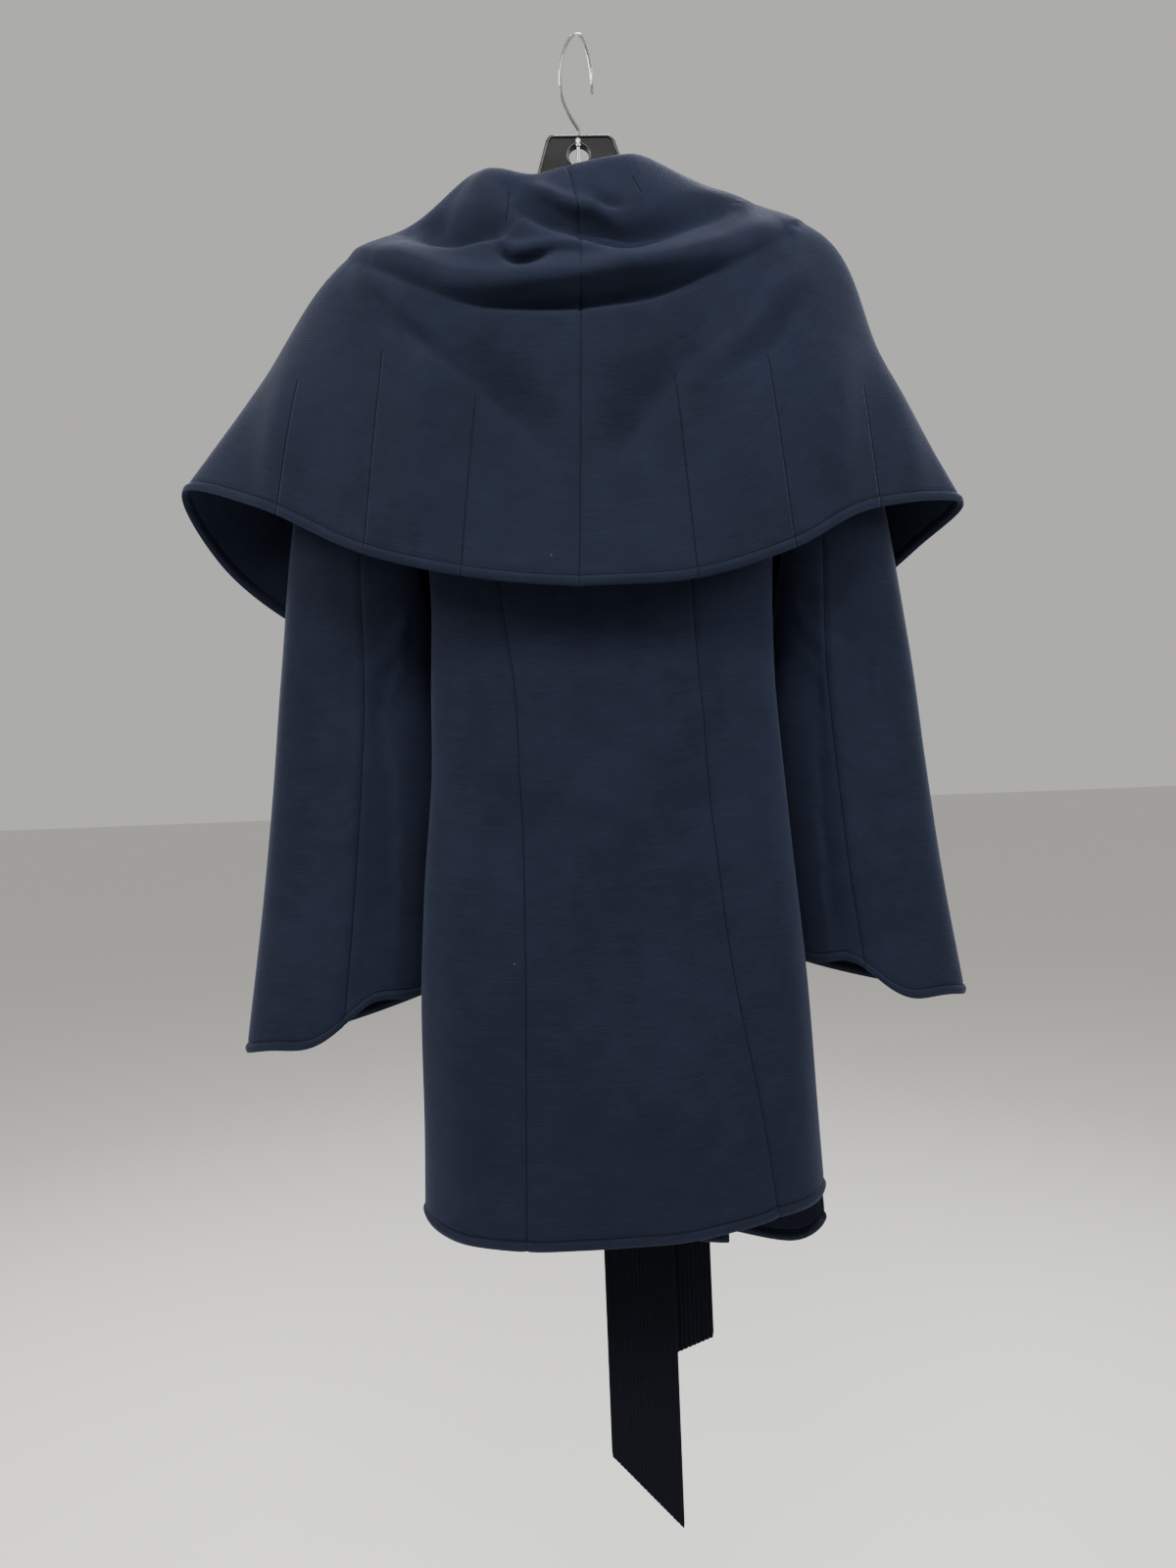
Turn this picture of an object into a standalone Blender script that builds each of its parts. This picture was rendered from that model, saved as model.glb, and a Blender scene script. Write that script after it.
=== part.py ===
"""Wrap coat with a cape collar, hung on a hanger.

Metres, +Z up. The origin is the inside of the hanger hook's crown, where a rail holds it.
The wearer's front faces -Y and the wearer's left is +X, so the coat's back faces +Y.
Cloth pieces are grids of points worked out from the tables below, and Solidify gives each its wall.
"""
import math

import bpy
import numpy as np

CLOTH = 0.002
SEAM = 0.0003
NECK_HALF = 0.068
SHOULDER_TOP = -0.163
SHOULDER_SLOPE = 0.22
SHOULDER_ROUND = 0.10
SHOULDER_END = 0.186
SHOULDER_SEAM_Y = 0.0014
SHOULDER_GAP = 0.00006
SIDE_SEAM_GAP = {"left": 0.0072, "right": 0.0046}
PRINCESS_TOP = {"left": 0.123, "right": 0.121}
PRINCESS_HEM = {"left": 0.088, "right": 0.136}
HEM_HALF = 0.183
WRAP_HEM = 0.098
ARMHOLE_TOP = -0.1905
KNOT_ROOT = 0.42
NECK_DROP = 0.016
NECK_STEP = 0.001
NECK_LIFT = 0.0026
FRONT_FROM = 0.47
ROLL_FROM = 0.60
TURN_RUN = 0.10
ROLL_OFFSET = (-0.0055, -0.0050, 0.001)
UNDERARM_Z = -0.42
SECTION_POWER = 2.6
FRONT_INSETS = {"left": 0.014, "right": -0.004}
COLLAR_SEAM = 0.0019
SLEEVE_SEAM = 0.0015
SLEEVE_SEAM_TURN = {"left": 97.0, "right": 106.0}
FRONT_SEAM_TURN = 78.0
SLEEVE_SEAM_GAP = 0.0035
CUFF_RISE = 0.012
CUFF_DROP = 0.012
SLEEVE_COLUMNS_ROUND = 11
SLEEVE_ROWS = 20
BELT_WIDTH = 0.064
BELT_WALL = 0.0035
WAIST_Z = -0.622

# Body tube: a row for each height
BODY_COLUMNS = ("z", "half_width", "centre_x", "back_depth", "front_depth")
BODY = (
    (-0.150, 0.192, 0.000, 0.050, 0.046),
    (-0.300, 0.172, 0.000, 0.058, 0.052),
    (-0.420, 0.162, 0.000, 0.062, 0.055),
    (-0.500, 0.156, 0.000, 0.060, 0.055),
    (-0.600, 0.157, 0.002, 0.056, 0.054),
    (-0.670, 0.160, 0.001, 0.056, 0.054),
    (-0.770, 0.168, 0.003, 0.058, 0.056),
    (-0.870, 0.175, 0.003, 0.060, 0.058),
    (-1.000, 0.179, 0.001, 0.062, 0.060),
    (-1.090, 0.183, 0.000, 0.064, 0.062),
)

# Seams of the body as distance from the centre at each height, the right side's first
SEAM_COLUMNS = ("z", "princess_right", "princess_left", "armhole")
SEAMS = (
    (-0.160, 0.122, 0.124, 0.187),
    (-0.195, 0.115, 0.119, 0.184),
    (-0.240, 0.108, 0.114, 0.158),
    (-0.300, 0.098, 0.107, 0.146),
    (-0.360, 0.090, 0.101, 0.147),
    (-0.400, 0.086, 0.097, 0.154),
    (-0.420, 0.084, 0.096, 0.162),
    (-0.510, 0.079, 0.090, 0.162),
    (-0.600, 0.082, 0.081, 0.162),
    (-0.700, 0.088, 0.078, 0.162),
    (-0.850, 0.102, 0.080, 0.162),
    (-1.000, 0.126, 0.085, 0.162),
    (-1.090, 0.136, 0.088, 0.162),
)

# Wrap edge of a front, towards its own side, at each height
WRAP_COLUMNS = ("z", "edge")
WRAP = ((-0.160, 0.068), (-0.300, 0.028), (-0.450, -0.030), (-0.600, -0.080), (-0.800, -0.092), (-1.100, -0.098))

# Hem height of the body across its width, back and front
HEM_COLUMNS = ("x", "back", "front")
HEM = (
    (-0.185, -1.060, -1.092),
    (-0.120, -1.074, -1.124),
    (0.000, -1.086, -1.108),
    (0.120, -1.085, -1.090),
    (0.185, -1.068, -1.070),
)

# Sleeve rings below the armhole: inner and outer edge, depth each way and the ring's own y
SLEEVE_COLUMNS = ("station", "inner_x", "inner_z", "outer_x", "outer_z", "back", "front", "centre_y")
SLEEVES = {
    "left": (
        (0.10, 0.171, -0.440, 0.220, -0.232, 0.036, 0.034, -0.002),
        (0.20, 0.172, -0.458, 0.252, -0.318, 0.036, 0.034, -0.007),
        (0.32, 0.168, -0.500, 0.281, -0.425, 0.036, 0.034, -0.018),
        (0.46, 0.156, -0.592, 0.303, -0.570, 0.035, 0.034, -0.032),
        (0.62, 0.158, -0.682, 0.315, -0.681, 0.036, 0.036, -0.032),
        (0.80, 0.165, -0.783, 0.329, -0.791, 0.038, 0.038, -0.032),
        (1.00, 0.172, -0.872, 0.349, -0.924, 0.040, 0.040, -0.032),
    ),
    "right": (
        (0.10, 0.171, -0.440, 0.214, -0.232, 0.036, 0.034, -0.002),
        (0.20, 0.172, -0.458, 0.238, -0.318, 0.036, 0.034, -0.007),
        (0.32, 0.167, -0.500, 0.262, -0.420, 0.036, 0.034, -0.018),
        (0.46, 0.156, -0.582, 0.287, -0.565, 0.035, 0.034, -0.032),
        (0.62, 0.158, -0.672, 0.298, -0.673, 0.036, 0.036, -0.032),
        (0.80, 0.164, -0.768, 0.310, -0.780, 0.038, 0.038, -0.032),
        (1.00, 0.171, -0.855, 0.327, -0.894, 0.040, 0.040, -0.032),
    ),
}

# Cape collar, from centre back (station 0) round over the shoulder to the wrap at the waist (1)
COLLAR_COLUMNS = ("station", "fold", "top", "shoulder", "drape", "hem")
COLLARS = {
    "left": (
        (0.00, (0.007, 0.030, -0.134), (0.008, 0.056, -0.185), (0.009, 0.066, -0.255), (0.014, 0.084, -0.385),
         (0.020, 0.105, -0.520)),
        (0.12, (0.045, 0.030, -0.142), (0.060, 0.055, -0.185), (0.080, 0.068, -0.255), (0.100, 0.084, -0.385),
         (0.117, 0.100, -0.507)),
        (0.24, (0.076, 0.018, -0.129), (0.108, 0.044, -0.182), (0.148, 0.062, -0.240), (0.182, 0.078, -0.360),
         (0.206, 0.086, -0.481)),
        (0.36, (0.087, 0.007, -0.124), (0.134, 0.026, -0.174), (0.192, 0.044, -0.220), (0.250, 0.058, -0.330),
         (0.300, 0.050, -0.431)),
        (0.47, (0.091, -0.004, -0.124), (0.156, 0.004, -0.167), (0.226, 0.006, -0.207), (0.302, 0.006, -0.309),
         (0.381, -0.004, -0.402)),
        (0.60, (0.092, -0.030, -0.146), (0.150, -0.036, -0.185), (0.215, -0.050, -0.245), (0.285, -0.064, -0.350),
         (0.360, -0.058, -0.466)),
        (0.74, (0.066, -0.062, -0.245), (0.105, -0.072, -0.265), (0.158, -0.082, -0.315), (0.215, -0.086, -0.410),
         (0.280, -0.080, -0.530)),
        (0.88, (-0.012, -0.050, -0.410), (0.030, -0.048, -0.430), (0.070, -0.050, -0.465), (0.125, -0.064, -0.520),
         (0.180, -0.074, -0.568)),
        (1.00, (-0.070, -0.046, -0.570), (-0.030, -0.046, -0.573), (0.020, -0.046, -0.576), (0.060, -0.045, -0.580),
         (0.092, -0.044, -0.582)),
    ),
    "right": (
        (0.00, (0.007, 0.030, -0.134), (0.008, 0.056, -0.185), (0.009, 0.066, -0.255), (0.014, 0.084, -0.385),
         (0.020, 0.105, -0.520)),
        (0.12, (-0.026, 0.028, -0.128), (-0.045, 0.053, -0.180), (-0.058, 0.066, -0.250), (-0.069, 0.083, -0.385),
         (-0.079, 0.099, -0.516)),
        (0.24, (-0.045, 0.019, -0.123), (-0.091, 0.043, -0.179), (-0.122, 0.060, -0.235), (-0.146, 0.077, -0.360),
         (-0.164, 0.084, -0.491)),
        (0.36, (-0.062, 0.008, -0.128), (-0.120, 0.025, -0.165), (-0.170, 0.044, -0.212), (-0.208, 0.058, -0.330),
         (-0.238, 0.055, -0.454)),
        (0.47, (-0.070, -0.004, -0.133), (-0.142, 0.002, -0.161), (-0.214, 0.006, -0.195), (-0.264, 0.006, -0.310),
         (-0.334, -0.004, -0.438)),
        (0.60, (-0.072, -0.030, -0.150), (-0.135, -0.036, -0.180), (-0.205, -0.050, -0.240), (-0.258, -0.064, -0.365),
         (-0.306, -0.056, -0.470)),
        (0.74, (-0.052, -0.064, -0.245), (-0.090, -0.074, -0.265), (-0.140, -0.082, -0.315), (-0.190, -0.086, -0.410),
         (-0.235, -0.082, -0.525)),
        (0.88, (0.026, -0.064, -0.410), (-0.015, -0.073, -0.430), (-0.065, -0.079, -0.465), (-0.110, -0.084, -0.520),
         (-0.150, -0.084, -0.568)),
        (1.00, (0.085, -0.064, -0.570), (0.045, -0.068, -0.573), (0.000, -0.071, -0.576), (-0.040, -0.073, -0.580),
         (-0.075, -0.072, -0.582)),
    ),
}
COLLAR_RUN = (0.0, 0.09, 0.25, 0.42, 0.70, 1.0)
COLLAR_ROWS = (0.0, 0.045, 0.09, 0.135, 0.19, 0.25, 0.30, 0.345, 0.385,
               0.42, 0.455, 0.50, 0.56, 0.64, 0.73, 0.82, 0.91, 1.0)

# Folds: start, middle and end of each crease as (x, z), its half width, its height (below 0 a trough) and its face
COLLAR_FOLDS = (
    ((0.196, -0.196), (0.010, -0.286), (-0.172, -0.188), 0.014, 0.009, 1),
    ((0.192, -0.214), (0.004, -0.335), (-0.171, -0.210), 0.013, -0.009, 1),
    ((0.150, -0.196), (0.095, -0.252), (0.058, -0.206), 0.011, -0.005, 1),
    ((0.010, -0.214), (-0.040, -0.248), (-0.120, -0.192), 0.011, -0.005, 1),
    ((0.210, -0.224), (0.150, -0.262), (0.090, -0.350), 0.014, 0.004, 1),
    ((-0.190, -0.214), (-0.150, -0.270), (-0.108, -0.336), 0.014, 0.004, 1),
    ((0.255, -0.300), (0.270, -0.380), (0.250, -0.440), 0.020, 0.004, 1),
    ((-0.215, -0.300), (-0.200, -0.390), (-0.200, -0.460), 0.020, 0.004, 1),
    ((0.150, -0.210), (0.190, -0.330), (0.230, -0.500), 0.018, 0.006, -1),
    ((-0.140, -0.210), (-0.160, -0.330), (-0.180, -0.500), 0.018, 0.006, -1),
)
BODY_FOLDS = (
    ((0.120, -0.560), (0.050, -0.650), (-0.060, -0.620), 0.020, -0.003, 1),
    ((-0.120, -0.600), (-0.060, -0.680), (0.040, -0.650), 0.018, 0.003, 1),
    ((0.120, -0.680), (0.135, -0.880), (0.140, -1.120), 0.022, 0.006, 1),
    ((0.040, -0.700), (0.040, -0.900), (0.045, -1.120), 0.026, -0.004, 1),
    ((-0.030, -0.720), (-0.040, -0.900), (-0.050, -1.120), 0.024, 0.004, 1),
    ((-0.130, -0.680), (-0.150, -0.880), (-0.160, -1.120), 0.020, 0.005, 1),
    ((0.110, -0.680), (0.120, -0.880), (0.125, -1.120), 0.022, 0.006, -1),
    ((-0.110, -0.680), (-0.125, -0.880), (-0.135, -1.120), 0.022, 0.006, -1),
    ((-0.020, -0.700), (-0.010, -0.880), (-0.005, -1.120), 0.024, -0.004, -1),
)

BELT_LIFT = 0.0042
TIE_START = 74.0
KNOT_X = -0.010
KNOT_SIZE = (0.062, 0.032, 0.056)
KNOT_ROUND = 0.011
BELT_SPREAD = 0.22
BELT_SWAY = 0.0022
BELT_SWAY_TURNS = 7.0
# Hanging ends: depth in front of the knot's back, then x and z of the two bottom corners
BELT_ENDS = (
    ("belt_end_long", 0.013, 0.020, -1.346, -0.047, -1.419),
    ("belt_end_short", 0.021, -0.016, -1.262, -0.083, -1.236),
)

HANGER_HALF = 0.168
HANGER_THICKNESS = 0.0075
HANGER_ARM_HEIGHT = 0.024
HANGER_CLEARANCE = 0.0033
HANGER_PLATE = ((-0.0235, -0.0925), (0.0315, -0.0910), (0.0350, -0.0950), (0.0560, -0.1650))
HANGER_PLATE_RIGHT = ((-0.0500, -0.1650), (-0.0275, -0.0965))
HANGER_HOLE = (0.0055, -0.1100, 0.0095)
WIRE_RADIUS = 0.0016
HOOK_ROUTE = (
    (0.0045, 0.000, -0.0910), (0.0055, 0.002, -0.0850), (0.0120, 0.008, -0.0770), (0.0185, 0.014, -0.0650),
    (0.0200, 0.019, -0.0480), (0.0170, 0.019, -0.0280), (0.0090, 0.012, -0.0080), (0.0000, 0.000, 0.0018),
    (-0.0060, -0.013, -0.0035), (-0.0090, -0.022, -0.0150), (-0.0095, -0.024, -0.0300), (-0.0095, -0.020, -0.0400),
)

COLOURS = {"cloth": ((0.018, 0.027, 0.046), 0.78, 0.0), "belt": ((0.007, 0.008, 0.014), 0.7, 0.0),
           "plastic": ((0.012, 0.012, 0.013), 0.38, 0.0), "wire": ((0.62, 0.62, 0.60), 0.28, 1.0)}


def column(table, names, name):
    """One named column of a table as an array."""
    place = names.index(name)
    return np.array([row[place] for row in table], float)


def smooth(stations, values, at):
    """Cubic curve through values at rising stations, read at `at` and held at its two ends."""
    values = np.asarray(values, float)
    stations = np.asarray(stations, float)
    slope = np.gradient(values, stations, axis=0)
    at = np.clip(at, stations[0], stations[-1])
    i = np.clip(np.searchsorted(stations, at) - 1, 0, len(stations) - 2)
    run = stations[i + 1] - stations[i]
    t = (at - stations[i]) / run
    t = t.reshape(t.shape + (1,) * (values.ndim - 1))
    run = run.reshape(t.shape)
    start = (2 * t**3 - 3 * t**2 + 1) * values[i] + (t**3 - 2 * t**2 + t) * run * slope[i]
    return start + (3 * t**2 - 2 * t**3) * values[i + 1] + (t**3 - t**2) * run * slope[i + 1]


def down(table, names, name, z):
    """A column of a table whose rows go down in z, read at heights z."""
    return smooth(-column(table, names, "z"), column(table, names, name), -z)


def shoulder_line(x):
    """Height of the shoulder seam at x: level across the neck, then sloping down."""
    return SHOULDER_TOP - SHOULDER_SLOPE * np.maximum(np.abs(x) - NECK_HALF, 0)


def body_angle(x, z):
    """Angle across the body's section at which it passes x: 0 at the centre, a quarter turn at the side."""
    reach = (x - down(BODY, BODY_COLUMNS, "centre_x", z)) / down(BODY, BODY_COLUMNS, "half_width", z)
    return np.arcsin(np.clip(reach, -1, 1))


def body_surface(angle, z, face, inset=0.0):
    """Point of the body: x by the sine of the angle, y a squared-off ellipse rounded in below the shoulder."""
    x = down(BODY, BODY_COLUMNS, "centre_x", z) + down(BODY, BODY_COLUMNS, "half_width", z) * np.sin(angle)
    depth = down(BODY, BODY_COLUMNS, "back_depth" if face > 0 else "front_depth", z) - inset
    below = np.clip((shoulder_line(x) - z) / SHOULDER_ROUND, 0, 1)
    dome = np.sqrt(1 - (1 - below)**2)
    oval = np.sqrt(np.clip(1 - np.abs(np.sin(angle))**SECTION_POWER, 0, 1))
    y = face * (depth * oval * dome + SHOULDER_SEAM_Y * (1 - below))
    return np.stack([x, y, z + 0 * x], axis=-1)


def crease(points, fold):
    """Height of one fold at each point: a soft hump across its curved line, fading to nothing at both ends."""
    start, middle, end, half_width, height, face = fold
    t = np.linspace(0, 1, 33)[:, None]
    line = (1 - t)**2 * np.array(start) + 2 * t * (1 - t) * np.array(middle) + t**2 * np.array(end)
    flat = points[..., (0, 2)]
    gap = np.linalg.norm(flat[..., None, :] - line, axis=-1)
    nearest = gap.argmin(axis=-1)
    fade = np.sin(math.pi * np.clip(t[nearest, 0] * 0.92 + 0.04, 0, 1))**0.7
    return height * fade * np.exp(-(gap.min(axis=-1) / half_width)**2) * (points[..., 1] * face > 0)


def folded(points, folds):
    """The grid with every fold of the list raised along y, outwards from the coat's middle."""
    raised = points.copy()
    for fold in folds:
        raised[..., 1] += fold[5] * crease(points, fold)
    return raised


def material(name):
    """Plain finish of one of the coat's materials."""
    found = bpy.data.materials.get(name)
    if found:
        return found
    colour, roughness, metallic = COLOURS[name]
    made = bpy.data.materials.new(name)
    made.use_nodes = True
    shader = made.node_tree.nodes["Principled BSDF"]
    shader.inputs["Base Color"].default_value = (*colour, 1.0)
    shader.inputs["Roughness"].default_value = roughness
    shader.inputs["Metallic"].default_value = metallic
    return made


def add_object(name, data, finish):
    """One named piece of the coat in the coat's collection, with its own copy of a finish."""
    made = bpy.data.objects.new(name, data)
    own = material(finish).copy()
    own.name = name + "_finish"
    data.materials.append(own)
    bpy.data.collections["wrap_coat_on_hanger"].objects.link(made)
    return made


def sheet(name, points, finish="cloth", wall=CLOTH):
    """A wall of cloth, half its thickness each side of a grid of points."""
    rows, cols = points.shape[:2]
    corner = (np.arange(rows - 1)[:, None] * cols + np.arange(cols - 1)).ravel()
    faces = np.stack([corner, corner + 1, corner + cols + 1, corner + cols], axis=1)
    mesh = bpy.data.meshes.new(name)
    mesh.from_pydata(points.reshape(-1, 3).tolist(), [], faces.tolist())
    mesh.shade_smooth()
    made = add_object(name, mesh, finish)
    solidify = made.modifiers.new("wall", "SOLIDIFY")
    solidify.thickness = wall
    solidify.offset = 0.0
    return made


def panel_grid(inner, outer, top, hem, face, across, rows, inset=0.0, folds=BODY_FOLDS):
    """Body panel between two seams: angles run from seam to seam, heights from top edge to hem."""
    u = np.linspace(0, 1, across + 1)[None, :]
    v = (np.linspace(0, 1, rows + 1)**1.35)[:, None]
    high = top(u)
    low = hem(u)
    z = high + (low - high) * v
    left = inner(z)
    angle = left + (outer(z) - left) * u
    return folded(body_surface(angle, z, face, inset), folds)


def hem_height(face):
    """Height of the hem under a point x, on the back or the front."""
    name = "back" if face > 0 else "front"
    return lambda x: smooth(column(HEM, HEM_COLUMNS, "x"), column(HEM, HEM_COLUMNS, name), x)


def seam_angle(name, side, shift):
    """Angle of a named seam at each height, moved along by a shift in x."""
    def at(z):
        return body_angle(side * down(SEAMS, SEAM_COLUMNS, name, z) + shift, z)
    return at


def side_angle(side):
    """Outer edge of a side panel: the armhole above the underarm, then the side seam."""
    def at(z):
        arm = body_angle(side * (down(SEAMS, SEAM_COLUMNS, "armhole", z) - SEAM), z)
        seam = side * (math.pi / 2 - SIDE_SEAM_GAP["left" if side > 0 else "right"])
        return np.where(z > UNDERARM_Z, arm, seam)
    return at


def seam_y_top(x_of_u):
    """Top edge of a panel: just under the shoulder seam, dipping across the back of the neck."""
    def at(u):
        x = x_of_u(u)
        dip = NECK_DROP * np.clip(1 - (x / NECK_HALF)**2, 0, 1)
        return shoulder_line(x) - dip - SHOULDER_GAP
    return at


def back_panels():
    """Centre back between the princess seams and a side back each side of it."""
    hem = hem_height(1)
    right = -PRINCESS_TOP["right"]
    left = PRINCESS_TOP["left"]
    hem_right = -PRINCESS_HEM["right"]
    hem_left = PRINCESS_HEM["left"]
    top = seam_y_top(lambda u: right + (left - right) * u)
    grid = panel_grid(seam_angle("princess_right", -1, SEAM / 2), seam_angle("princess_left", 1, -SEAM / 2),
                      top, lambda u: hem(hem_right + (hem_left - hem_right) * u), 1, 12, 26)
    sheet("back_centre", grid)
    for side, word in ((1, "left"), (-1, "right")):
        seam = PRINCESS_TOP[word]
        hem_seam = PRINCESS_HEM[word]
        x_top = lambda u, a=seam, s=side: s * (a + (SHOULDER_END - a) * u)
        x_hem = lambda u, a=hem_seam, s=side: s * (a + (HEM_HALF - a) * u)
        grid = panel_grid(seam_angle("princess_" + word, side, side * SEAM / 2), side_angle(side),
                          seam_y_top(x_top), lambda u, x_hem=x_hem: hem(x_hem(u)), 1, 7, 26)
        sheet("side_back_" + word, grid)


def front_panels():
    """Two wrap fronts: each from its side seam to its wrap edge, the right one outermost."""
    hem = hem_height(-1)
    for side, word in ((1, "left"), (-1, "right")):
        edge = lambda z, s=side: body_angle(s * down(WRAP, WRAP_COLUMNS, "edge", z), z)
        x_top = lambda u, s=side: s * (NECK_HALF + (SHOULDER_END - NECK_HALF) * u)
        x_hem = lambda u, s=side: s * (-WRAP_HEM + (HEM_HALF + WRAP_HEM) * u)
        grid = panel_grid(edge, side_angle(side), seam_y_top(x_top), lambda u, x_hem=x_hem: hem(x_hem(u)),
                          -1, 12, 24, FRONT_INSETS[word])
        sheet("front_" + word, grid)


def armhole_ring(side, turn):
    """Points round the armhole: turn 0 is the shoulder end, half a turn the underarm, a whole turn back again."""
    z = ARMHOLE_TOP + (UNDERARM_Z - ARMHOLE_TOP) * (1 - np.cos(turn)) / 2
    angle = body_angle(side * (down(SEAMS, SEAM_COLUMNS, "armhole", z) - SEAM), z)
    back = body_surface(angle, z, 1)
    front = body_surface(angle, z, -1)
    ring = np.where((turn <= math.pi)[:, None], back, front)
    ring[:, 0] += side * SLEEVE_SEAM
    return ring


def cuff_wave(reach, at_back):
    """Rise of the cuff's hem round the sleeve: at the back low outside and high inside, at the front a low bow."""
    back = CUFF_RISE * np.exp(-((reach + 0.45) / 0.30)**2) - CUFF_DROP * np.exp(-((reach - 0.25) / 0.40)**2)
    return np.where(at_back, back, -CUFF_DROP * 0.8) * (1 - reach**2)**0.5


def sleeve_ring(row, side, turn):
    """An oval ring of the sleeve: from its outer edge round the back to its inner edge and round the front."""
    station, inner_x, inner_z, outer_x, outer_z, back, front, centre_y = row
    reach = np.cos(turn)
    x = side * ((outer_x + inner_x) / 2 + reach * (outer_x - inner_x) / 2)
    z = (outer_z + inner_z) / 2 + reach * (outer_z - inner_z) / 2
    if station == 1.0:
        z = z + cuff_wave(reach, np.sin(turn) >= 0)
    depth = np.where(np.sin(turn) >= 0, back, front)
    y = centre_y + depth * np.sign(np.sin(turn)) * np.abs(np.sin(turn))**0.85
    return np.stack([x, y, z], axis=-1)


def sleeves():
    """Two bell sleeves of two pieces each, parted by the seam down the back and one down the front."""
    for side, word in ((1, "left"), (-1, "right")):
        table = SLEEVES[word]
        stations = [0.0] + [row[0] for row in table]
        back_turn = math.radians(SLEEVE_SEAM_TURN[word])
        front_turn = math.radians(FRONT_SEAM_TURN)
        parts = (("outer", -front_turn, back_turn), ("inner", back_turn, 2 * math.pi - front_turn))
        for part, first, last in parts:
            turn = np.linspace(first + SLEEVE_SEAM_GAP, last - SLEEVE_SEAM_GAP, SLEEVE_COLUMNS_ROUND)
            turn = turn % (2 * math.pi)
            rings = [armhole_ring(side, turn)] + [sleeve_ring(row, side, turn) for row in table]
            rows = np.linspace(0, 1, SLEEVE_ROWS)
            sheet(f"sleeve_{word}_{part}", smooth(stations, np.array(rings), rows))


def collar_roots(word, side, u, fold):
    """Neck edge and fold of the collar: on the neckline across the back, then along the front's wrap edge."""
    z_front = np.minimum(fold[:, 2], SHOULDER_TOP - NECK_STEP)
    edge_x = side * (down(WRAP, WRAP_COLUMNS, "edge", z_front) - COLLAR_SEAM)
    front = body_surface(body_angle(edge_x, z_front), z_front, -1, FRONT_INSETS[word])
    x_back = np.clip(fold[:, 0], -NECK_HALF + 0.002, NECK_HALF - 0.002)
    z_back = shoulder_line(x_back) - NECK_DROP * np.clip(1 - (x_back / NECK_HALF)**2, 0, 1)
    back = body_surface(body_angle(x_back, z_back), z_back, 1)
    back[:, 2] += NECK_LIFT
    front_share = np.clip((u - FRONT_FROM) / TURN_RUN, 0, 1)[:, None]
    roll_share = np.clip((u - ROLL_FROM) / TURN_RUN, 0, 1)[:, None]
    roll = front + np.array(ROLL_OFFSET) * (side, 1, 1)
    neck = back * (1 - front_share) + front * front_share
    return neck, fold * (1 - roll_share) + roll * roll_share


def collars():
    """Cape collar: up from the neckline, over at the fold and down to its own hem, in two halves."""
    for side, word in ((1, "left"), (-1, "right")):
        table = COLLARS[word]
        stations = column(table, COLLAR_COLUMNS, "station")
        u = np.linspace(0, 1, 27)
        lines = [smooth(stations, [row[k] for row in table], u) for k in range(1, len(COLLAR_COLUMNS))]
        lines[0:1] = collar_roots(word, side, u, lines[0])
        grid = smooth(COLLAR_RUN, np.array(lines), np.array(COLLAR_ROWS))
        grid[:, 0, 0] += side * SEAM / 2
        sheet("collar_" + word, folded(grid, COLLAR_FOLDS))


def belt_ties():
    """A tie from each side seam round the front to the knot, lying on the fronts."""
    for side, word in ((1, "left"), (-1, "right")):
        u = np.linspace(0, 1, 17)[None, :]
        z = WAIST_Z + BELT_WIDTH * (0.5 - np.linspace(0, 1, 5))[:, None] + 0 * u
        centre = body_angle(KNOT_X + side * SEAM, z)
        start = side * math.radians(TIE_START)
        angle = start + (centre - start) * u
        away = np.stack([np.sin(angle), -np.cos(angle), 0 * z], axis=-1)
        front = body_surface(angle, z, -1, FRONT_INSETS["right"])
        sheet("belt_tie_" + word, front + away * BELT_LIFT, "belt", BELT_WALL)


def belt_knot():
    """Soft flat knot in front of the ties."""
    bpy.ops.mesh.primitive_cube_add(size=1.0)
    knot = bpy.context.object
    knot.name = "belt_knot"
    knot.scale = KNOT_SIZE
    knot.location = (KNOT_X, knot_back() - KNOT_SIZE[1] / 2, WAIST_Z)
    bpy.ops.object.transform_apply(location=False, rotation=False, scale=True)
    for collection in knot.users_collection:
        collection.objects.unlink(knot)
    bpy.data.collections["wrap_coat_on_hanger"].objects.link(knot)
    knot.data.materials.append(material("belt").copy())
    soft = knot.modifiers.new("soft", "BEVEL")
    soft.width = KNOT_ROUND
    soft.segments = 3


def knot_back():
    """Y of the knot's back face: just clear of the ties at the middle of the front."""
    front = body_surface(np.array([0.0]), np.array([WAIST_Z]), -1, FRONT_INSETS["right"])[0, 1]
    return float(front) - BELT_LIFT - BELT_WALL / 2 - 2 * SEAM


def belt_ends():
    """Two ends that hang from the knot, narrower where they leave it and cut slanting at the bottom."""
    v = np.linspace(0, 1, 17)[:, None]
    u = np.linspace(0, 1, 5)[None, :]
    top_z = WAIST_Z - KNOT_SIZE[2] / 2 - 2 * SEAM
    for row in BELT_ENDS:
        name, depth, left_x, left_z, right_x, right_z = row
        spread = np.sin(np.clip(v / BELT_SPREAD, 0, 1) * math.pi / 2)
        x_left = KNOT_X + KNOT_SIZE[0] * KNOT_ROOT + (left_x - KNOT_X - KNOT_SIZE[0] * KNOT_ROOT) * spread
        x_right = KNOT_X - KNOT_SIZE[0] * KNOT_ROOT + (right_x - KNOT_X + KNOT_SIZE[0] * KNOT_ROOT) * spread
        low = left_z + (right_z - left_z) * u
        z = top_z + (low - top_z) * v
        x = x_left + (x_right - x_left) * u
        y = knot_back() - depth + BELT_SWAY * np.sin(BELT_SWAY_TURNS * v) + 0 * u
        sheet(name, np.stack([x, y, z], axis=-1), "belt", BELT_WALL)


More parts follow.
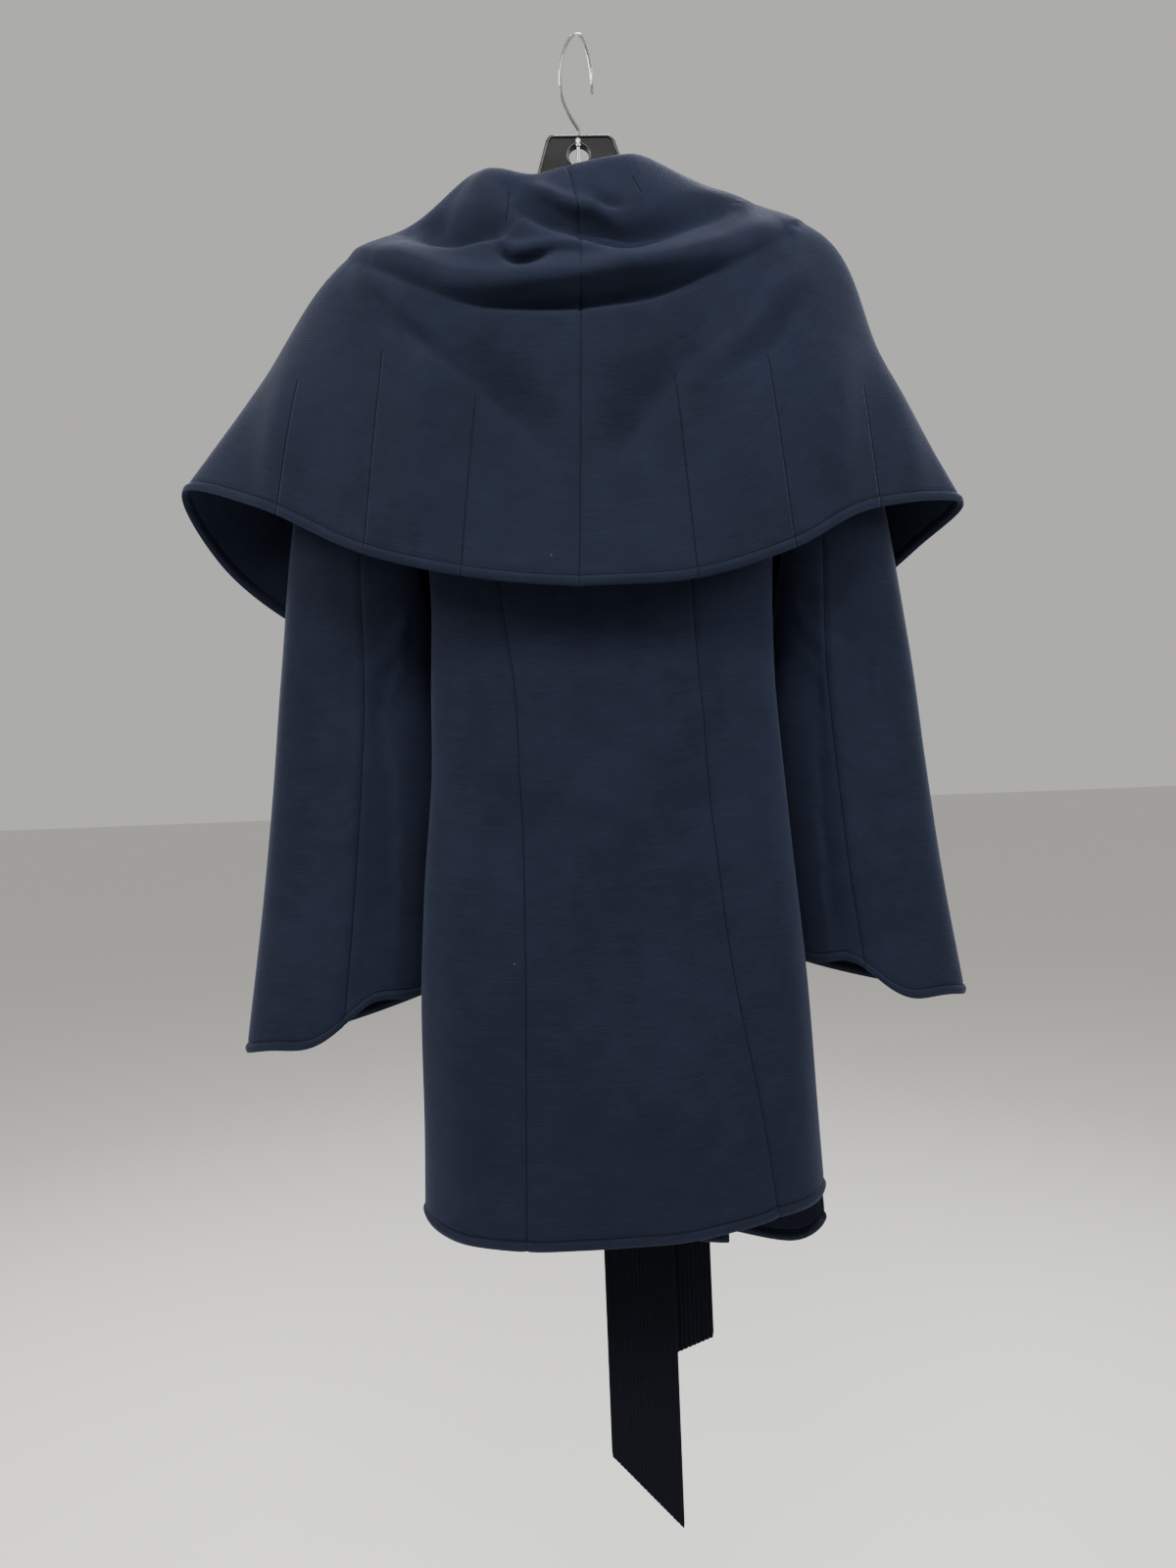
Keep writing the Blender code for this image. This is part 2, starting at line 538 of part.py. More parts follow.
def hanger():
    """Flat plastic hanger with a holed plate, and the wire hook that turns in it."""
    curve = bpy.data.curves.new("hanger_body", "CURVE")
    curve.dimensions = "2D"
    curve.fill_mode = "BOTH"
    curve.extrude = HANGER_THICKNESS / 2
    reach = np.linspace(0.060, HANGER_HALF, 7)
    upper = [(x, float(shoulder_line(x)) - HANGER_CLEARANCE) for x in reach]
    tip = [(HANGER_HALF + 0.004, upper[-1][1] - HANGER_ARM_HEIGHT * 0.5)]
    lower = [(x, float(shoulder_line(x)) - HANGER_CLEARANCE - HANGER_ARM_HEIGHT) for x in reach[::-1]]
    left_arm = upper + tip + lower
    right_arm = [(-x, z) for x, z in left_arm[::-1]]
    outline = list(HANGER_PLATE) + left_arm + right_arm + list(HANGER_PLATE_RIGHT)
    centre_x, centre_z, radius = HANGER_HOLE
    turns = np.linspace(0, 2 * math.pi, 24, endpoint=False)
    hole = [(centre_x + radius * math.cos(a), centre_z + radius * math.sin(a)) for a in turns]
    for points in (outline, hole):
        spline = curve.splines.new("POLY")
        spline.points.add(len(points) - 1)
        spline.use_cyclic_u = True
        for point, (x, z) in zip(spline.points, points):
            point.co = (x, z, 0.0, 1.0)
    body = add_object("hanger_body", curve, "plastic")
    body.rotation_euler = (math.pi / 2, 0, 0)

    wire = bpy.data.curves.new("hanger_hook", "CURVE")
    wire.dimensions = "3D"
    wire.bevel_depth = WIRE_RADIUS
    wire.bevel_resolution = 2
    wire.use_fill_caps = True
    route = np.array(HOOK_ROUTE)
    fine = smooth(np.arange(len(route)), route, np.linspace(0, len(route) - 1, 34))
    spline = wire.splines.new("POLY")
    spline.points.add(len(fine) - 1)
    for point, place in zip(spline.points, fine):
        point.co = (*place, 1.0)
    add_object("hanger_hook", wire, "wire")


def main():
    for old in list(bpy.data.objects):
        bpy.data.objects.remove(old, do_unlink=True)
    coat = bpy.data.collections.new("wrap_coat_on_hanger")
    bpy.context.scene.collection.children.link(coat)
    back_panels()
    front_panels()
    sleeves()
    collars()
    belt_ties()
    belt_knot()
    belt_ends()
    hanger()


main()
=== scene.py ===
"""Looks of a wrap coat with a cape collar, hung on a flat hanger and seen from its back.

Metres, in the frame's own axes: the coat's back faces +Y, the wearer's left is +X and the hook's crown is
the origin. Every cloth piece is a fine grid on its solid's own surface, given folds, seams and a turned hem,
and closed into a thin shell with round edges. The tables are in thousandths: millimetres, and stations as
thousandths of the way.
"""
import math

import bpy
import numpy as np
from mathutils import Matrix


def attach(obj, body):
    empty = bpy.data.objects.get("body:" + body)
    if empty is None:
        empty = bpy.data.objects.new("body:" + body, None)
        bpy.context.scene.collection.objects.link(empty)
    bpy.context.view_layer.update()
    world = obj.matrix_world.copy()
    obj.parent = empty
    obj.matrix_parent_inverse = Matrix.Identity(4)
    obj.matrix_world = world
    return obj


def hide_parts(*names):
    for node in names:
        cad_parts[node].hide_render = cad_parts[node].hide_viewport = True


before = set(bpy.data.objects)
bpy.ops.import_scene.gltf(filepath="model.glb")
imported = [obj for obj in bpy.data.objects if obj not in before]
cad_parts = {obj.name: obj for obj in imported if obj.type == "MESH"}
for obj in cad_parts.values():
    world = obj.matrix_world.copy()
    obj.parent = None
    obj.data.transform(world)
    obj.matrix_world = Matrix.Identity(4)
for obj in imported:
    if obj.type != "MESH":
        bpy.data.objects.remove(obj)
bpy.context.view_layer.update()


def thousandths(table):
    """The nested table with every number divided by a thousand."""
    return tuple(thousandths(row) if isinstance(row, tuple) else row / 1000 for row in table)


def columns(names, table):
    """The columns of a table in thousandths, by name."""
    return dict(zip(names.split(), np.array(thousandths(table)).T))


BACK = 1
FRONT = -1
SIDES = ((1, "left"), (-1, "right"))

NECK_HALF = 0.068
SHOULDER_TOP = -0.163
SHOULDER_SLOPE = 0.22
SHOULDER_ROUND = 0.10
SHOULDER_END = 0.186
SHOULDER_SEAM_Y = 0.0014
SHOULDER_GAP = 0.00006
NECK_DROP = 0.016
NECK_STEP = 0.001
ARMHOLE_TOP = -0.1905
UNDERARM_Z = -0.42
SECTION_POWER = 2.6
SLEEVE_POWER = 0.85
FRONT_INSETS = {"left": 0.014, "right": -0.004}
COLLAR_SEAM = 0.0019
SLEEVE_SEAM = 0.0015
SLEEVE_SEAM_TURN = {"left": 97.0, "right": 106.0}
FRONT_SEAM_TURN = 78.0
SLEEVE_SEAM_GAP = 0.0035
SIDE_SEAM_GAP = {"left": 0.0072, "right": 0.0046}
CUFF_RISE = 0.012
CUFF_DROP = 0.012
CUFF_HIGH = (-0.45, 0.30)
CUFF_LOW = (0.25, 0.40)
CUFF_FRONT = 0.8
PRINCESS_TOP = {"left": 0.123, "right": 0.121}
PRINCESS_HEM = {"left": 0.088, "right": 0.136}
HEM_HALF = 0.183
WRAP_HEM = 0.098
NECK_INSET = 0.002
NECK_LIFT = 0.0026
FRONT_FROM = 0.47
ROLL_FROM = 0.60
TURN_RUN = 0.10
ROLL_OFFSET = (-0.0055, -0.0050, 0.001)
SEAM = 0.0003
CLOTH = 0.0020
BELT_WIDTH = 0.064
BELT_WALL = 0.0035
BELT_LIFT = 0.0042
WAIST_Z = -0.622
KNOT_X = -0.010
KNOT_SIZE = (0.062, 0.032, 0.056)
TIE_START = 74.0
BELT_CHANNEL = 0.0046

BODY = columns("z half_width centre_x back_depth front_depth", (
    (-150, 192, 0, 50, 46),
    (-300, 172, 0, 58, 52),
    (-420, 162, 0, 62, 55),
    (-500, 156, 0, 60, 55),
    (-600, 157, 2, 56, 54),
    (-670, 160, 1, 56, 54),
    (-770, 168, 3, 58, 56),
    (-870, 175, 3, 60, 58),
    (-1000, 179, 1, 62, 60),
    (-1090, 183, 0, 64, 62),
))
SEAMS = columns("z princess_right princess_left armhole", (
    (-160, 122, 124, 187),
    (-195, 115, 119, 184),
    (-240, 108, 114, 158),
    (-300, 98, 107, 146),
    (-360, 90, 101, 147),
    (-400, 86, 97, 154),
    (-420, 84, 96, 162),
    (-510, 79, 90, 162),
    (-600, 82, 81, 162),
    (-700, 88, 78, 162),
    (-850, 102, 80, 162),
    (-1000, 126, 85, 162),
    (-1090, 136, 88, 162),
))
WRAP = columns("z edge", (
    (-160, 68),
    (-300, 28),
    (-450, -30),
    (-600, -80),
    (-800, -92),
    (-1100, -98),
))
HEM = columns("x back front", (
    (-185, -1060, -1092),
    (-120, -1074, -1124),
    (0, -1086, -1108),
    (120, -1085, -1090),
    (185, -1068, -1070),
))
# A sleeve's rows: station, depths at back and front, middle y; then x and z of its inner and its outer edge
SLEEVE_DEPTHS = thousandths((
    (100, 36, 34, -2),
    (200, 36, 34, -7),
    (320, 36, 34, -18),
    (460, 35, 34, -32),
    (620, 36, 36, -32),
    (800, 38, 38, -32),
    (1000, 40, 40, -32),
))
SLEEVE_EDGES = {
    "left": thousandths((
        (171, -440, 220, -232),
        (172, -458, 252, -318),
        (168, -500, 281, -425),
        (156, -592, 303, -570),
        (158, -682, 315, -681),
        (165, -783, 329, -791),
        (172, -872, 349, -924),
    )),
    "right": thousandths((
        (171, -440, 214, -232),
        (172, -458, 238, -318),
        (167, -500, 262, -420),
        (156, -582, 287, -565),
        (158, -672, 298, -673),
        (164, -768, 310, -780),
        (171, -855, 327, -894),
    )),
}
# A collar's row: station, then its points at the fold, top, shoulder, drape and hem
COLLAR_CENTRE = (0, (18.5, 30, -136), (8, 56, -185), (9, 66, -255), (14, 84, -385), (20, 105, -520))
COLLAR_LEFT = thousandths((
    COLLAR_CENTRE,
    (120, (45, 30, -142), (60, 55, -185), (80, 68, -255), (100, 84, -385), (117, 100, -507)),
    (240, (76, 18, -129), (108, 44, -182), (148, 62, -240), (182, 78, -360), (206, 86, -481)),
    (360, (87, 7, -124), (134, 26, -174), (192, 44, -220), (250, 58, -330), (300, 50, -431)),
    (470, (91, -4, -124), (156, 4, -167), (226, 6, -207), (302, 6, -309), (381, -4, -402)),
    (600, (92, -30, -146), (150, -36, -185), (215, -50, -245), (285, -64, -350), (360, -58, -466)),
    (740, (66, -62, -245), (105, -72, -265), (158, -82, -315), (215, -86, -410), (280, -80, -530)),
    (880, (-12, -50, -410), (30, -48, -430), (70, -50, -465), (125, -64, -520), (180, -74, -568)),
    (1000, (-70, -46, -570), (-30, -46, -573), (20, -46, -576), (60, -45, -580), (92, -44, -582)),
))
COLLAR_RIGHT = thousandths((
    COLLAR_CENTRE,
    (120, (-26, 28, -128), (-45, 53, -180), (-58, 66, -250), (-69, 83, -385), (-79, 99, -516)),
    (240, (-45, 19, -123), (-91, 43, -179), (-122, 60, -235), (-146, 77, -360), (-164, 84, -491)),
    (360, (-62, 8, -128), (-120, 25, -165), (-170, 44, -212), (-208, 58, -330), (-238, 55, -454)),
    (470, (-70, -4, -133), (-142, 2, -161), (-214, 6, -195), (-264, 6, -310), (-334, -4, -438)),
    (600, (-72, -30, -150), (-135, -36, -180), (-205, -50, -240), (-258, -64, -365), (-306, -56, -470)),
    (740, (-52, -64, -245), (-90, -74, -265), (-140, -82, -315), (-190, -86, -410), (-235, -82, -525)),
    (880, (26, -64, -410), (-15, -73, -430), (-65, -79, -465), (-110, -84, -520), (-150, -84, -568)),
    (1000, (85, -64, -570), (45, -68, -573), (0, -71, -576), (-40, -73, -580), (-75, -72, -582)),
))
COLLAR_RUN = (0.0, 0.09, 0.25, 0.42, 0.70, 1.0)

# Folds by the face they are on. A fold is a soft ridge or trough along a line of points: x and z in turn, its
# widths above and below, its rise (below 0 a trough), and how far its crest slips down
COLLAR_FOLDS = {
    BACK: thousandths((
    ((204, -199, 178, -219, 150, -236, 126, -248, 103, -253, 81, -255, 50, -253.5, 24, -251, 6, -249.5,
     -15, -247, -33, -243, -56, -241.5, -79, -238, -104, -232.5, -125, -227, -150, -213.5, -172, -199),
     20, 10, 23, 6),
    ((190, -225, 172, -234.5, 138, -251, 109, -262, 82, -268, 46, -270.5, 14, -270.5, -16, -268, -43,
     -266, -66, -260, -101, -245, -124, -234.5, -147, -223.5, -170, -208), 14, 6.5, -11, 0),
    ((156, -192, 137, -197, 117, -200, 96, -197, 80, -200, 71, -207), 16, 11, -17, 0),
    ((66, -168, 54, -181, 34, -193, 11, -200, -11, -208, -34, -214, -57, -209.5, -81, -199, -104, -189,
     -121, -180), 16, 10, -17.5, 0),
    ((51, -159, 42, -163, 33, -168, 24, -174, 10, -179, -3, -182, -14.5, -188, -23, -196), 8, 5, 8, 4),
    ((75, -200, 74, -212, 64, -221, 44, -219, 25, -217.5, 5, -219, -11, -223), 6, 5, 7, 3),
    ((77, -224, 66, -232, 51, -232, 35, -227), 7, 4.5, -11, 0),
    ((-6, -172, -18, -178, -33, -180.5), 6, 6, -6, 0),
    ((-100, -169, -125, -166.5, -148, -174), 14, 14, 5, 0),
    ((146, -180, 135.5, -180.5, 125, -173.5), 9, 9, -6, 0),
    ((112, -300, 88, -360, 66, -430, 62, -500), 34, 30, -12.5, 0),
    ((-22, -320, -34, -390, -40, -480), 26, 28, -8.5, 0),
    ((140, -300, 158, -380, 160, -480), 20, 22, 6, 0),
    ((-112, -330, -122, -400, -126, -490), 20, 20, 5.5, 0),
    ((214, -222, 180, -252, 146, -284, 104, -330, 84, -352), 15, 12, 7, 0),
    ((222, -238, 208, -272, 194, -316, 184, -336), 12, 12, -3.5, 0),
    ((172, -276, 140, -302, 106, -328, 70, -362, 36, -404), 24, 12, -13.5, 0),
    ((-182, -243, -161, -267.5, -139, -296, -118, -318, -92, -342), 11, 10, 6.5, 0),
    ((-183, -268, -164.5, -288, -150, -312, -132, -336), 10, 9, -5, 0),
    ((-88, -310, -60, -345, -30, -384, -8, -412), 22, 11, -10, 0),
    ((262, -296, 276, -366, 284, -436), 20, 20, 5, 0),
    ((232, -330, 240, -400, 246, -462), 18, 18, -3, 0),
    ((-215, -296, -207, -376, -206, -468), 18, 20, 5, 0),
    ((-262, -320, -276, -380, -286, -440), 18, 18, 3.5, 0),
    )),
    FRONT: thousandths((
    ((120, -190, 164, -300, 214, -430, 232, -520), 18, 20, 7.5, 0),
    ((158, -214, 222, -320, 276, -450), 18, 16, -5, 0),
    ((196, -216, 262, -320, 320, -446), 16, 16, 4.5, 0),
    ((70, -250, 98, -360, 128, -520), 14, 16, 4, 0),
    ((-112, -190, -146, -300, -176, -430, -190, -520), 18, 20, 7.5, 0),
    ((-150, -206, -196, -310, -232, -450), 18, 16, -5, 0),
    ((-186, -210, -238, -320, -284, -440), 16, 16, 4.5, 0),
    ((-66, -260, -84, -380, -96, -530), 14, 16, 4, 0),
    )),
}
BODY_FOLDS = {
    BACK: thousandths((
    ((130, -530, 90, -590, 40, -640, -10, -668), 22, 18, -3.5, 0),
    ((-128, -560, -92, -620, -40, -664, 18, -690), 20, 18, 4, 0),
    ((118, -640, 62, -690, -6, -712), 18, 18, 3, 0),
    ((-118, -668, -70, -724, -14, -748), 16, 18, -2.8, 0),
    ((122, -680, 136, -860, 144, -1120), 22, 22, 6, 0),
    ((52, -720, 46, -900, 52, -1120), 28, 26, -4.5, 0),
    ((-18, -740, -30, -900, -44, -1120), 26, 24, 4.5, 0),
    ((-78, -720, -88, -900, -96, -1120), 22, 22, -3.5, 0),
    ((-132, -670, -150, -860, -162, -1120), 20, 20, 5.5, 0),
    )),
    FRONT: thousandths((
    ((112, -690, 122, -860, 130, -1120), 22, 22, 6, 0),
    ((62, -680, 66, -860, 72, -1120), 18, 20, -4, 0),
    ((-112, -690, -126, -860, -138, -1120), 22, 22, 6, 0),
    ((-62, -680, -70, -860, -78, -1120), 18, 20, -4, 0),
    ((-4, -700, 4, -880, 10, -1120), 20, 22, 4, 0),
    ((120, -540, 84, -565, 40, -580), 12, 12, 3, 0),
    ((-124, -536, -88, -562, -46, -578), 12, 12, 3, 0),
    )),
}
SLEEVE_FOLDS = {
    BACK: thousandths((
    ((216, -500, 222, -600, 240, -740, 260, -890), 12, 16, 2.6, 0),
    ((196, -560, 200, -680, 212, -800, 226, -880), 16, 16, -3, 0),
    ((262, -520, 270, -660, 292, -860), 18, 18, -3, 0),
    ((172, -520, 192, -556, 222, -580), 9, 9, 3.5, 0),
    ((170, -548, 188, -592, 212, -626), 8, 9, -3, 0),
    ((292, -716, 262, -728, 232, -732), 6, 7, 2, 0),
    ((-198, -496, -205, -590, -218, -730, -238, -880), 12, 12, 4.5, 0),
    ((-184, -560, -190, -680, -198, -780, -208, -860), 10, 12, -4, 0),
    ((-246, -520, -254, -660, -272, -850), 18, 18, -3, 0),
    ((-172, -524, -190, -556, -214, -574), 9, 9, 3, 0),
    )),
    FRONT: thousandths((
    ((236, -480, 232, -620, 246, -760, 262, -900), 16, 16, 4.5, 0),
    ((266, -520, 274, -680, 296, -880), 14, 14, -3, 0),
    ((180, -560, 206, -588, 240, -600), 9, 9, 3, 0),
    ((-226, -480, -224, -620, -236, -760, -250, -870), 16, 16, 4.5, 0),
    ((-252, -520, -262, -680, -280, -860), 14, 14, -3, 0),
    ((-178, -560, -202, -590, -236, -604), 9, 9, 3, 0),
    )),
}
# Darts and seams sewn up from the collar's hem, and two at its neck, as (x, z) of bottom and top
DARTS = thousandths((
    ((280, -442), (258, -324)),
    ((200, -475), (181, -308)),
    ((118, -505), (103, -349)),
    ((-79, -512), (-69, -337)),
    ((-164, -488), (-149, -325)),
    ((-246, -456), (-236, -343)),
    ((71, -186), (69, -160)),
    ((-46, -166), (-40, -152)),
))
FRONT_DARTS = thousandths((
    ((285, -522), (242, -400)),
    ((205, -558), (168, -445)),
    ((-240, -518), (-206, -400)),
    ((-158, -562), (-130, -450)),
))

HEM_BAND = 0.0075
HEM_STITCH = 0.0084
HEM_ROLL = 0.0017
HEM_ROLL_AT = HEM_BAND * 0.48
HEM_ROLL_WIDTH = HEM_BAND * 0.42
STITCH_GROOVE = 0.0008
STITCH_WIDTH = 0.0011
FOLD_SAMPLES = 96
FOLD_END = 0.05
FOLD_FADE = 0.8
EDGE_TURNS = 3
EDGE_BULGE = 0.9
SEAM_DIP = 0.0011
SEAM_DIP_WIDTH = 0.0026
# Grids: columns, rows, and the width and length in metres that their close rows are measured by
BACK_GRID = (76, 190, 0.17, 0.92)
SIDE_GRID = (40, 190, 0.09, 0.92)
FRONT_GRID = (70, 170, 0.26, 0.92)
SLEEVE_GRID = (50, 120, 0.18, 0.72)
COLLAR_GRID = ((150, 78), 118, 0.9, 0.42)
PANEL_DRAW = (0.95, 1.2)
COLLAR_DRAW = (0.9, 1.05)
SEAM_ROWS = (0.0, 0.0008, 0.0017, 0.0028, 0.0042, 0.0062)
HEM_ROWS = (0.0, 0.0007, 0.0015, 0.0025, 0.0036, 0.0048, 0.0058, 0.0066, 0.0075, 0.0084, 0.0093, 0.0105,
            0.0125, 0.0155)


# Curves and surfaces

def smooth(stations, values, at):
    """Cubic curve through values at rising stations, read at `at` and held at its two ends."""
    values = np.asarray(values, float)
    stations = np.asarray(stations, float)
    slope = np.gradient(values, stations, axis=0)
    at = np.clip(at, stations[0], stations[-1])
    i = np.clip(np.searchsorted(stations, at) - 1, 0, len(stations) - 2)
    run = stations[i + 1] - stations[i]
    t = (at - stations[i]) / run
    t = t.reshape(t.shape + (1,) * (values.ndim - 1))
    run = run.reshape(t.shape)
    start = (2 * t**3 - 3 * t**2 + 1) * values[i] + (t**3 - 2 * t**2 + t) * run * slope[i]
    return start + (3 * t**2 - 2 * t**3) * values[i + 1] + (t**3 - t**2) * run * slope[i + 1]


def down(table, name, z):
    """A column of a table whose rows go down in z, read at heights z."""
    return smooth(-table["z"], table[name], -z)


def shoulder_line(x):
    """Height of the shoulder seam at x: level across the neck, then sloping down."""
    return SHOULDER_TOP - SHOULDER_SLOPE * np.maximum(np.abs(x) - NECK_HALF, 0)


def body_angle(x, z):
    """Angle across the body's section at which it passes x: 0 at the centre, a quarter turn at the side."""
    reach = (x - down(BODY, "centre_x", z)) / down(BODY, "half_width", z)
    return np.arcsin(np.clip(reach, -1, 1))


def body_surface(angle, z, face, inset=0.0):
    """Point of the body: x by the sine of the angle, y a squared ellipse rounded in below the shoulder."""
    x = down(BODY, "centre_x", z) + down(BODY, "half_width", z) * np.sin(angle)
    depth = down(BODY, "back_depth" if face > 0 else "front_depth", z) - inset
    below = np.clip((shoulder_line(x) - z) / SHOULDER_ROUND, 0, 1)
    dome = np.sqrt(1 - (1 - below)**2)
    oval = np.sqrt(np.clip(1 - np.abs(np.sin(angle))**SECTION_POWER, 0, 1))
    y = face * (depth * oval * dome + SHOULDER_SEAM_Y * (1 - below))
    return np.stack([x, y, z + 0 * x], axis=-1)


def unit(vectors):
    """Vectors made one long."""
    return vectors / np.maximum(np.linalg.norm(vectors, axis=-1, keepdims=True), 1e-12)


def bell(value, centre, width):
    """1 at the centre, falling off on both sides by a width."""
    return np.exp(-((value - centre) / width)**2)


def outward(points, away):
    """Unit normals of a grid, from the differences along its two ways, turned to the side given by `away`."""
    return away * unit(np.cross(np.gradient(points, axis=0), np.gradient(points, axis=1)))


def fold_profile(points, line, above, below, face):
    """Strength of one fold at each point: 1 on its line, falling off by its widths and fading at its ends.

    The distance is measured square to the line from its nearest sample, so that it changes smoothly along it.
    """
    knots = np.reshape(line, (-1, 2))
    fine = smooth(np.arange(len(knots)), knots, np.linspace(0, len(knots) - 1, FOLD_SAMPLES))
    steps = np.gradient(fine, axis=0)
    spacing = np.linalg.norm(steps, axis=-1)
    travel = unit(steps)
    apart = points[..., None, (0, 2)] - fine
    near = np.linalg.norm(apart, axis=-1).argmin(axis=-1)
    nearest = np.take_along_axis(apart, near[..., None, None], axis=-2)[..., 0, :]
    way = travel[near]
    along = (way * nearest).sum(axis=-1)
    within = np.clip(along, -spacing[near] / 2, spacing[near] / 2)
    aside = way[..., 0] * nearest[..., 1] - way[..., 1] * nearest[..., 0]
    beyond = np.where((near == 0) | (near == FOLD_SAMPLES - 1), along - within, 0)
    upper = (aside > 0) == (travel[:, 0].sum() > 0)
    width = np.where(upper, above, below)
    share = np.clip((near + within / spacing[near]) / (FOLD_SAMPLES - 1), 0, 1)
    fade = np.sin(math.pi * (share * (1 - 2 * FOLD_END) + FOLD_END))**FOLD_FADE
    return fade * np.exp(-(aside**2 + beyond**2) / width**2) * (points[..., 1] * face > 0)


def fold(points, folds, away):
    """The grid with each fold raised along the cloth's own outward direction, its crest slipping down."""
    out = outward(points, away)
    moved = points.copy()
    for face, rows in folds.items():
        for line, above, below, height, sag in rows:
            strength = fold_profile(points, line, above, below, face)[..., None]
            moved += out * strength * height
            moved[..., 2:] -= strength * sag
    return moved


def run_lengths(points, axis, back=False):
    """Distance walked along the cloth to each point of the grid, from its first row or its last."""
    steps = np.linalg.norm(np.diff(points, axis=axis), axis=-1)
    zero = np.zeros_like(np.take(steps, [0], axis=axis))
    if back:
        return np.flip(np.cumsum(np.concatenate([zero, np.flip(steps, axis)], axis=axis), axis=axis), axis)
    return np.cumsum(np.concatenate([zero, steps], axis=axis), axis=axis)


def seam_ease(cols, width):
    """Columns from 0 to 1 with close columns at both side edges, given the cloth's width in metres."""
    near = np.array(SEAM_ROWS) / width
    return np.concatenate([near, np.linspace(near[-1], 1 - near[-1], cols + 1)[1:-1], 1 - near[::-1]])


def side_runs(points):
    """Distances along the cloth from its two side edges."""
    return run_lengths(points, 1), run_lengths(points, 1, back=True)


def line_distance(points, free):
    """Distance to the nearer line of each side: the sewn edge itself, or the stitching inside a free edge."""
    runs = zip(side_runs(points), free)
    return np.minimum(*(np.abs(run - HEM_STITCH) if loose else run for run, loose in runs))


def sewn_in(points, away, free=(False, False)):
    """The grid turned in a little along the side edges that are sewn to another piece."""
    dip = np.zeros(points.shape[:2])
    for run, loose in zip(side_runs(points), free):
        if not loose:
            dip += bell(run, 0, SEAM_DIP_WIDTH)
    return points - outward(points, away) * (SEAM_DIP * dip)[..., None]


def hem_ease(rows, length):
    """Rows from 0 to 1 with close rows at the hem, given the cloth's length in metres."""
    tail = 1 - np.array(HEM_ROWS[::-1]) / length
    return np.concatenate([np.linspace(0, tail[0], rows, endpoint=False), tail])


def drawn_up(v, until, power):
    """Rows from 0 to 1 drawn towards the top by a power, down to where the close rows of the hem begin."""
    return np.where(v < until, until * (v / until)**power, v)


# Shells

def thickness(points, wall, free=(False, False)):
    """Half thickness at each point: the wall, with a rolled and stitched hem and free edges."""
    rises = [run_lengths(points, 0, back=True)]
    rises += [run for run, loose in zip(side_runs(points), free) if loose]
    rise = np.minimum.reduce(rises)
    half = np.full(points.shape[:2], wall / 2)
    half += HEM_ROLL * bell(rise, HEM_ROLL_AT, HEM_ROLL_WIDTH)
    half -= STITCH_GROOVE * bell(rise, HEM_STITCH, STITCH_WIDTH)
    return half


def shell(name, points, half, away, finish, free):
    """Closed cloth: the grid moved out and in by half its thickness, its border joined by a half circle."""
    rows, cols = points.shape[:2]
    count = rows * cols
    index = np.arange(count).reshape(rows, cols)
    border = np.concatenate([index[0, :-1], index[:-1, -1], index[-1, :0:-1], index[:0:-1, 0]])
    out = outward(points, away)
    ring = points.reshape(-1, 3)[border]
    ring_out = out.reshape(-1, 3)[border]
    edgeward = ring - points[np.clip(border // cols, 1, rows - 2), np.clip(border % cols, 1, cols - 2)]
    edgeward = unit(edgeward - ring_out * (edgeward * ring_out).sum(axis=-1, keepdims=True))
    ring_half = half.ravel()[border][:, None]
    verts = [(points + out * half[..., None]).reshape(-1, 3), (points - out * half[..., None]).reshape(-1, 3)]
    for k in range(1, EDGE_TURNS):
        turn = math.pi * k / EDGE_TURNS
        verts.append(ring + ring_half * (math.cos(turn) * ring_out + EDGE_BULGE * math.sin(turn) * edgeward))
    corner = index[:-1, :-1].ravel()
    outer = np.stack([corner, corner + 1, corner + cols + 1, corner + cols], axis=1)[:, ::away]
    around = np.arange(len(ring))
    loops = [border] + [2 * count + k * len(ring) + around for k in range(EDGE_TURNS - 1)] + [border + count]
    strips = [np.stack([a, b, np.roll(b, -1), np.roll(a, -1)], axis=1)[:, ::away]
              for a, b in zip(loops, loops[1:])]
    faces = np.concatenate([outer, outer[:, ::-1] + count] + strips)
    uv = np.stack([run_lengths(points, 1), run_lengths(points, 0, back=True)], axis=-1).reshape(-1, 2)
    edge = line_distance(points, free).ravel()
    uv, edge = (np.concatenate([value, value] + [value[border]] * (EDGE_TURNS - 1)) for value in (uv, edge))
    return piece(name, np.concatenate(verts), faces, finish, uv, edge)


def piece(name, verts, faces, finish, uv=None, edge=None):
    """One mesh object from whole arrays, shaded smooth, with its cloth coordinates as a UV map."""
    mesh = bpy.data.meshes.new(name)
    sides = faces.shape[1]
    mesh.vertices.add(len(verts))
    mesh.vertices.foreach_set("co", np.ascontiguousarray(verts, np.float32).ravel())
    mesh.loops.add(faces.size)
    mesh.loops.foreach_set("vertex_index", np.ascontiguousarray(faces, np.int32).ravel())
    mesh.polygons.add(len(faces))
    mesh.polygons.foreach_set("loop_start", np.arange(0, faces.size, sides, dtype=np.int32))
    mesh.update(calc_edges=True)
    mesh.validate()
    if uv is not None:
        layer = mesh.uv_layers.new(name="cloth")
        index = np.empty(len(mesh.loops), np.int32)
        mesh.loops.foreach_get("vertex_index", index)
        layer.data.foreach_set("uv", uv[index].astype(np.float32).ravel())
    if edge is not None:
        mesh.attributes.new("edge", "FLOAT", "POINT").data.foreach_set("value", edge.astype(np.float32))
    mesh.shade_smooth()
    made = bpy.data.objects.new(name, mesh)
    bpy.context.scene.collection.objects.link(made)
    mesh.materials.append(finish)
    return made


def belongs(made, node=None):
    """Give a piece its body, and hide the node that it takes the place of."""
    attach(made, "root")
    if node is not None:
        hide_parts(node)


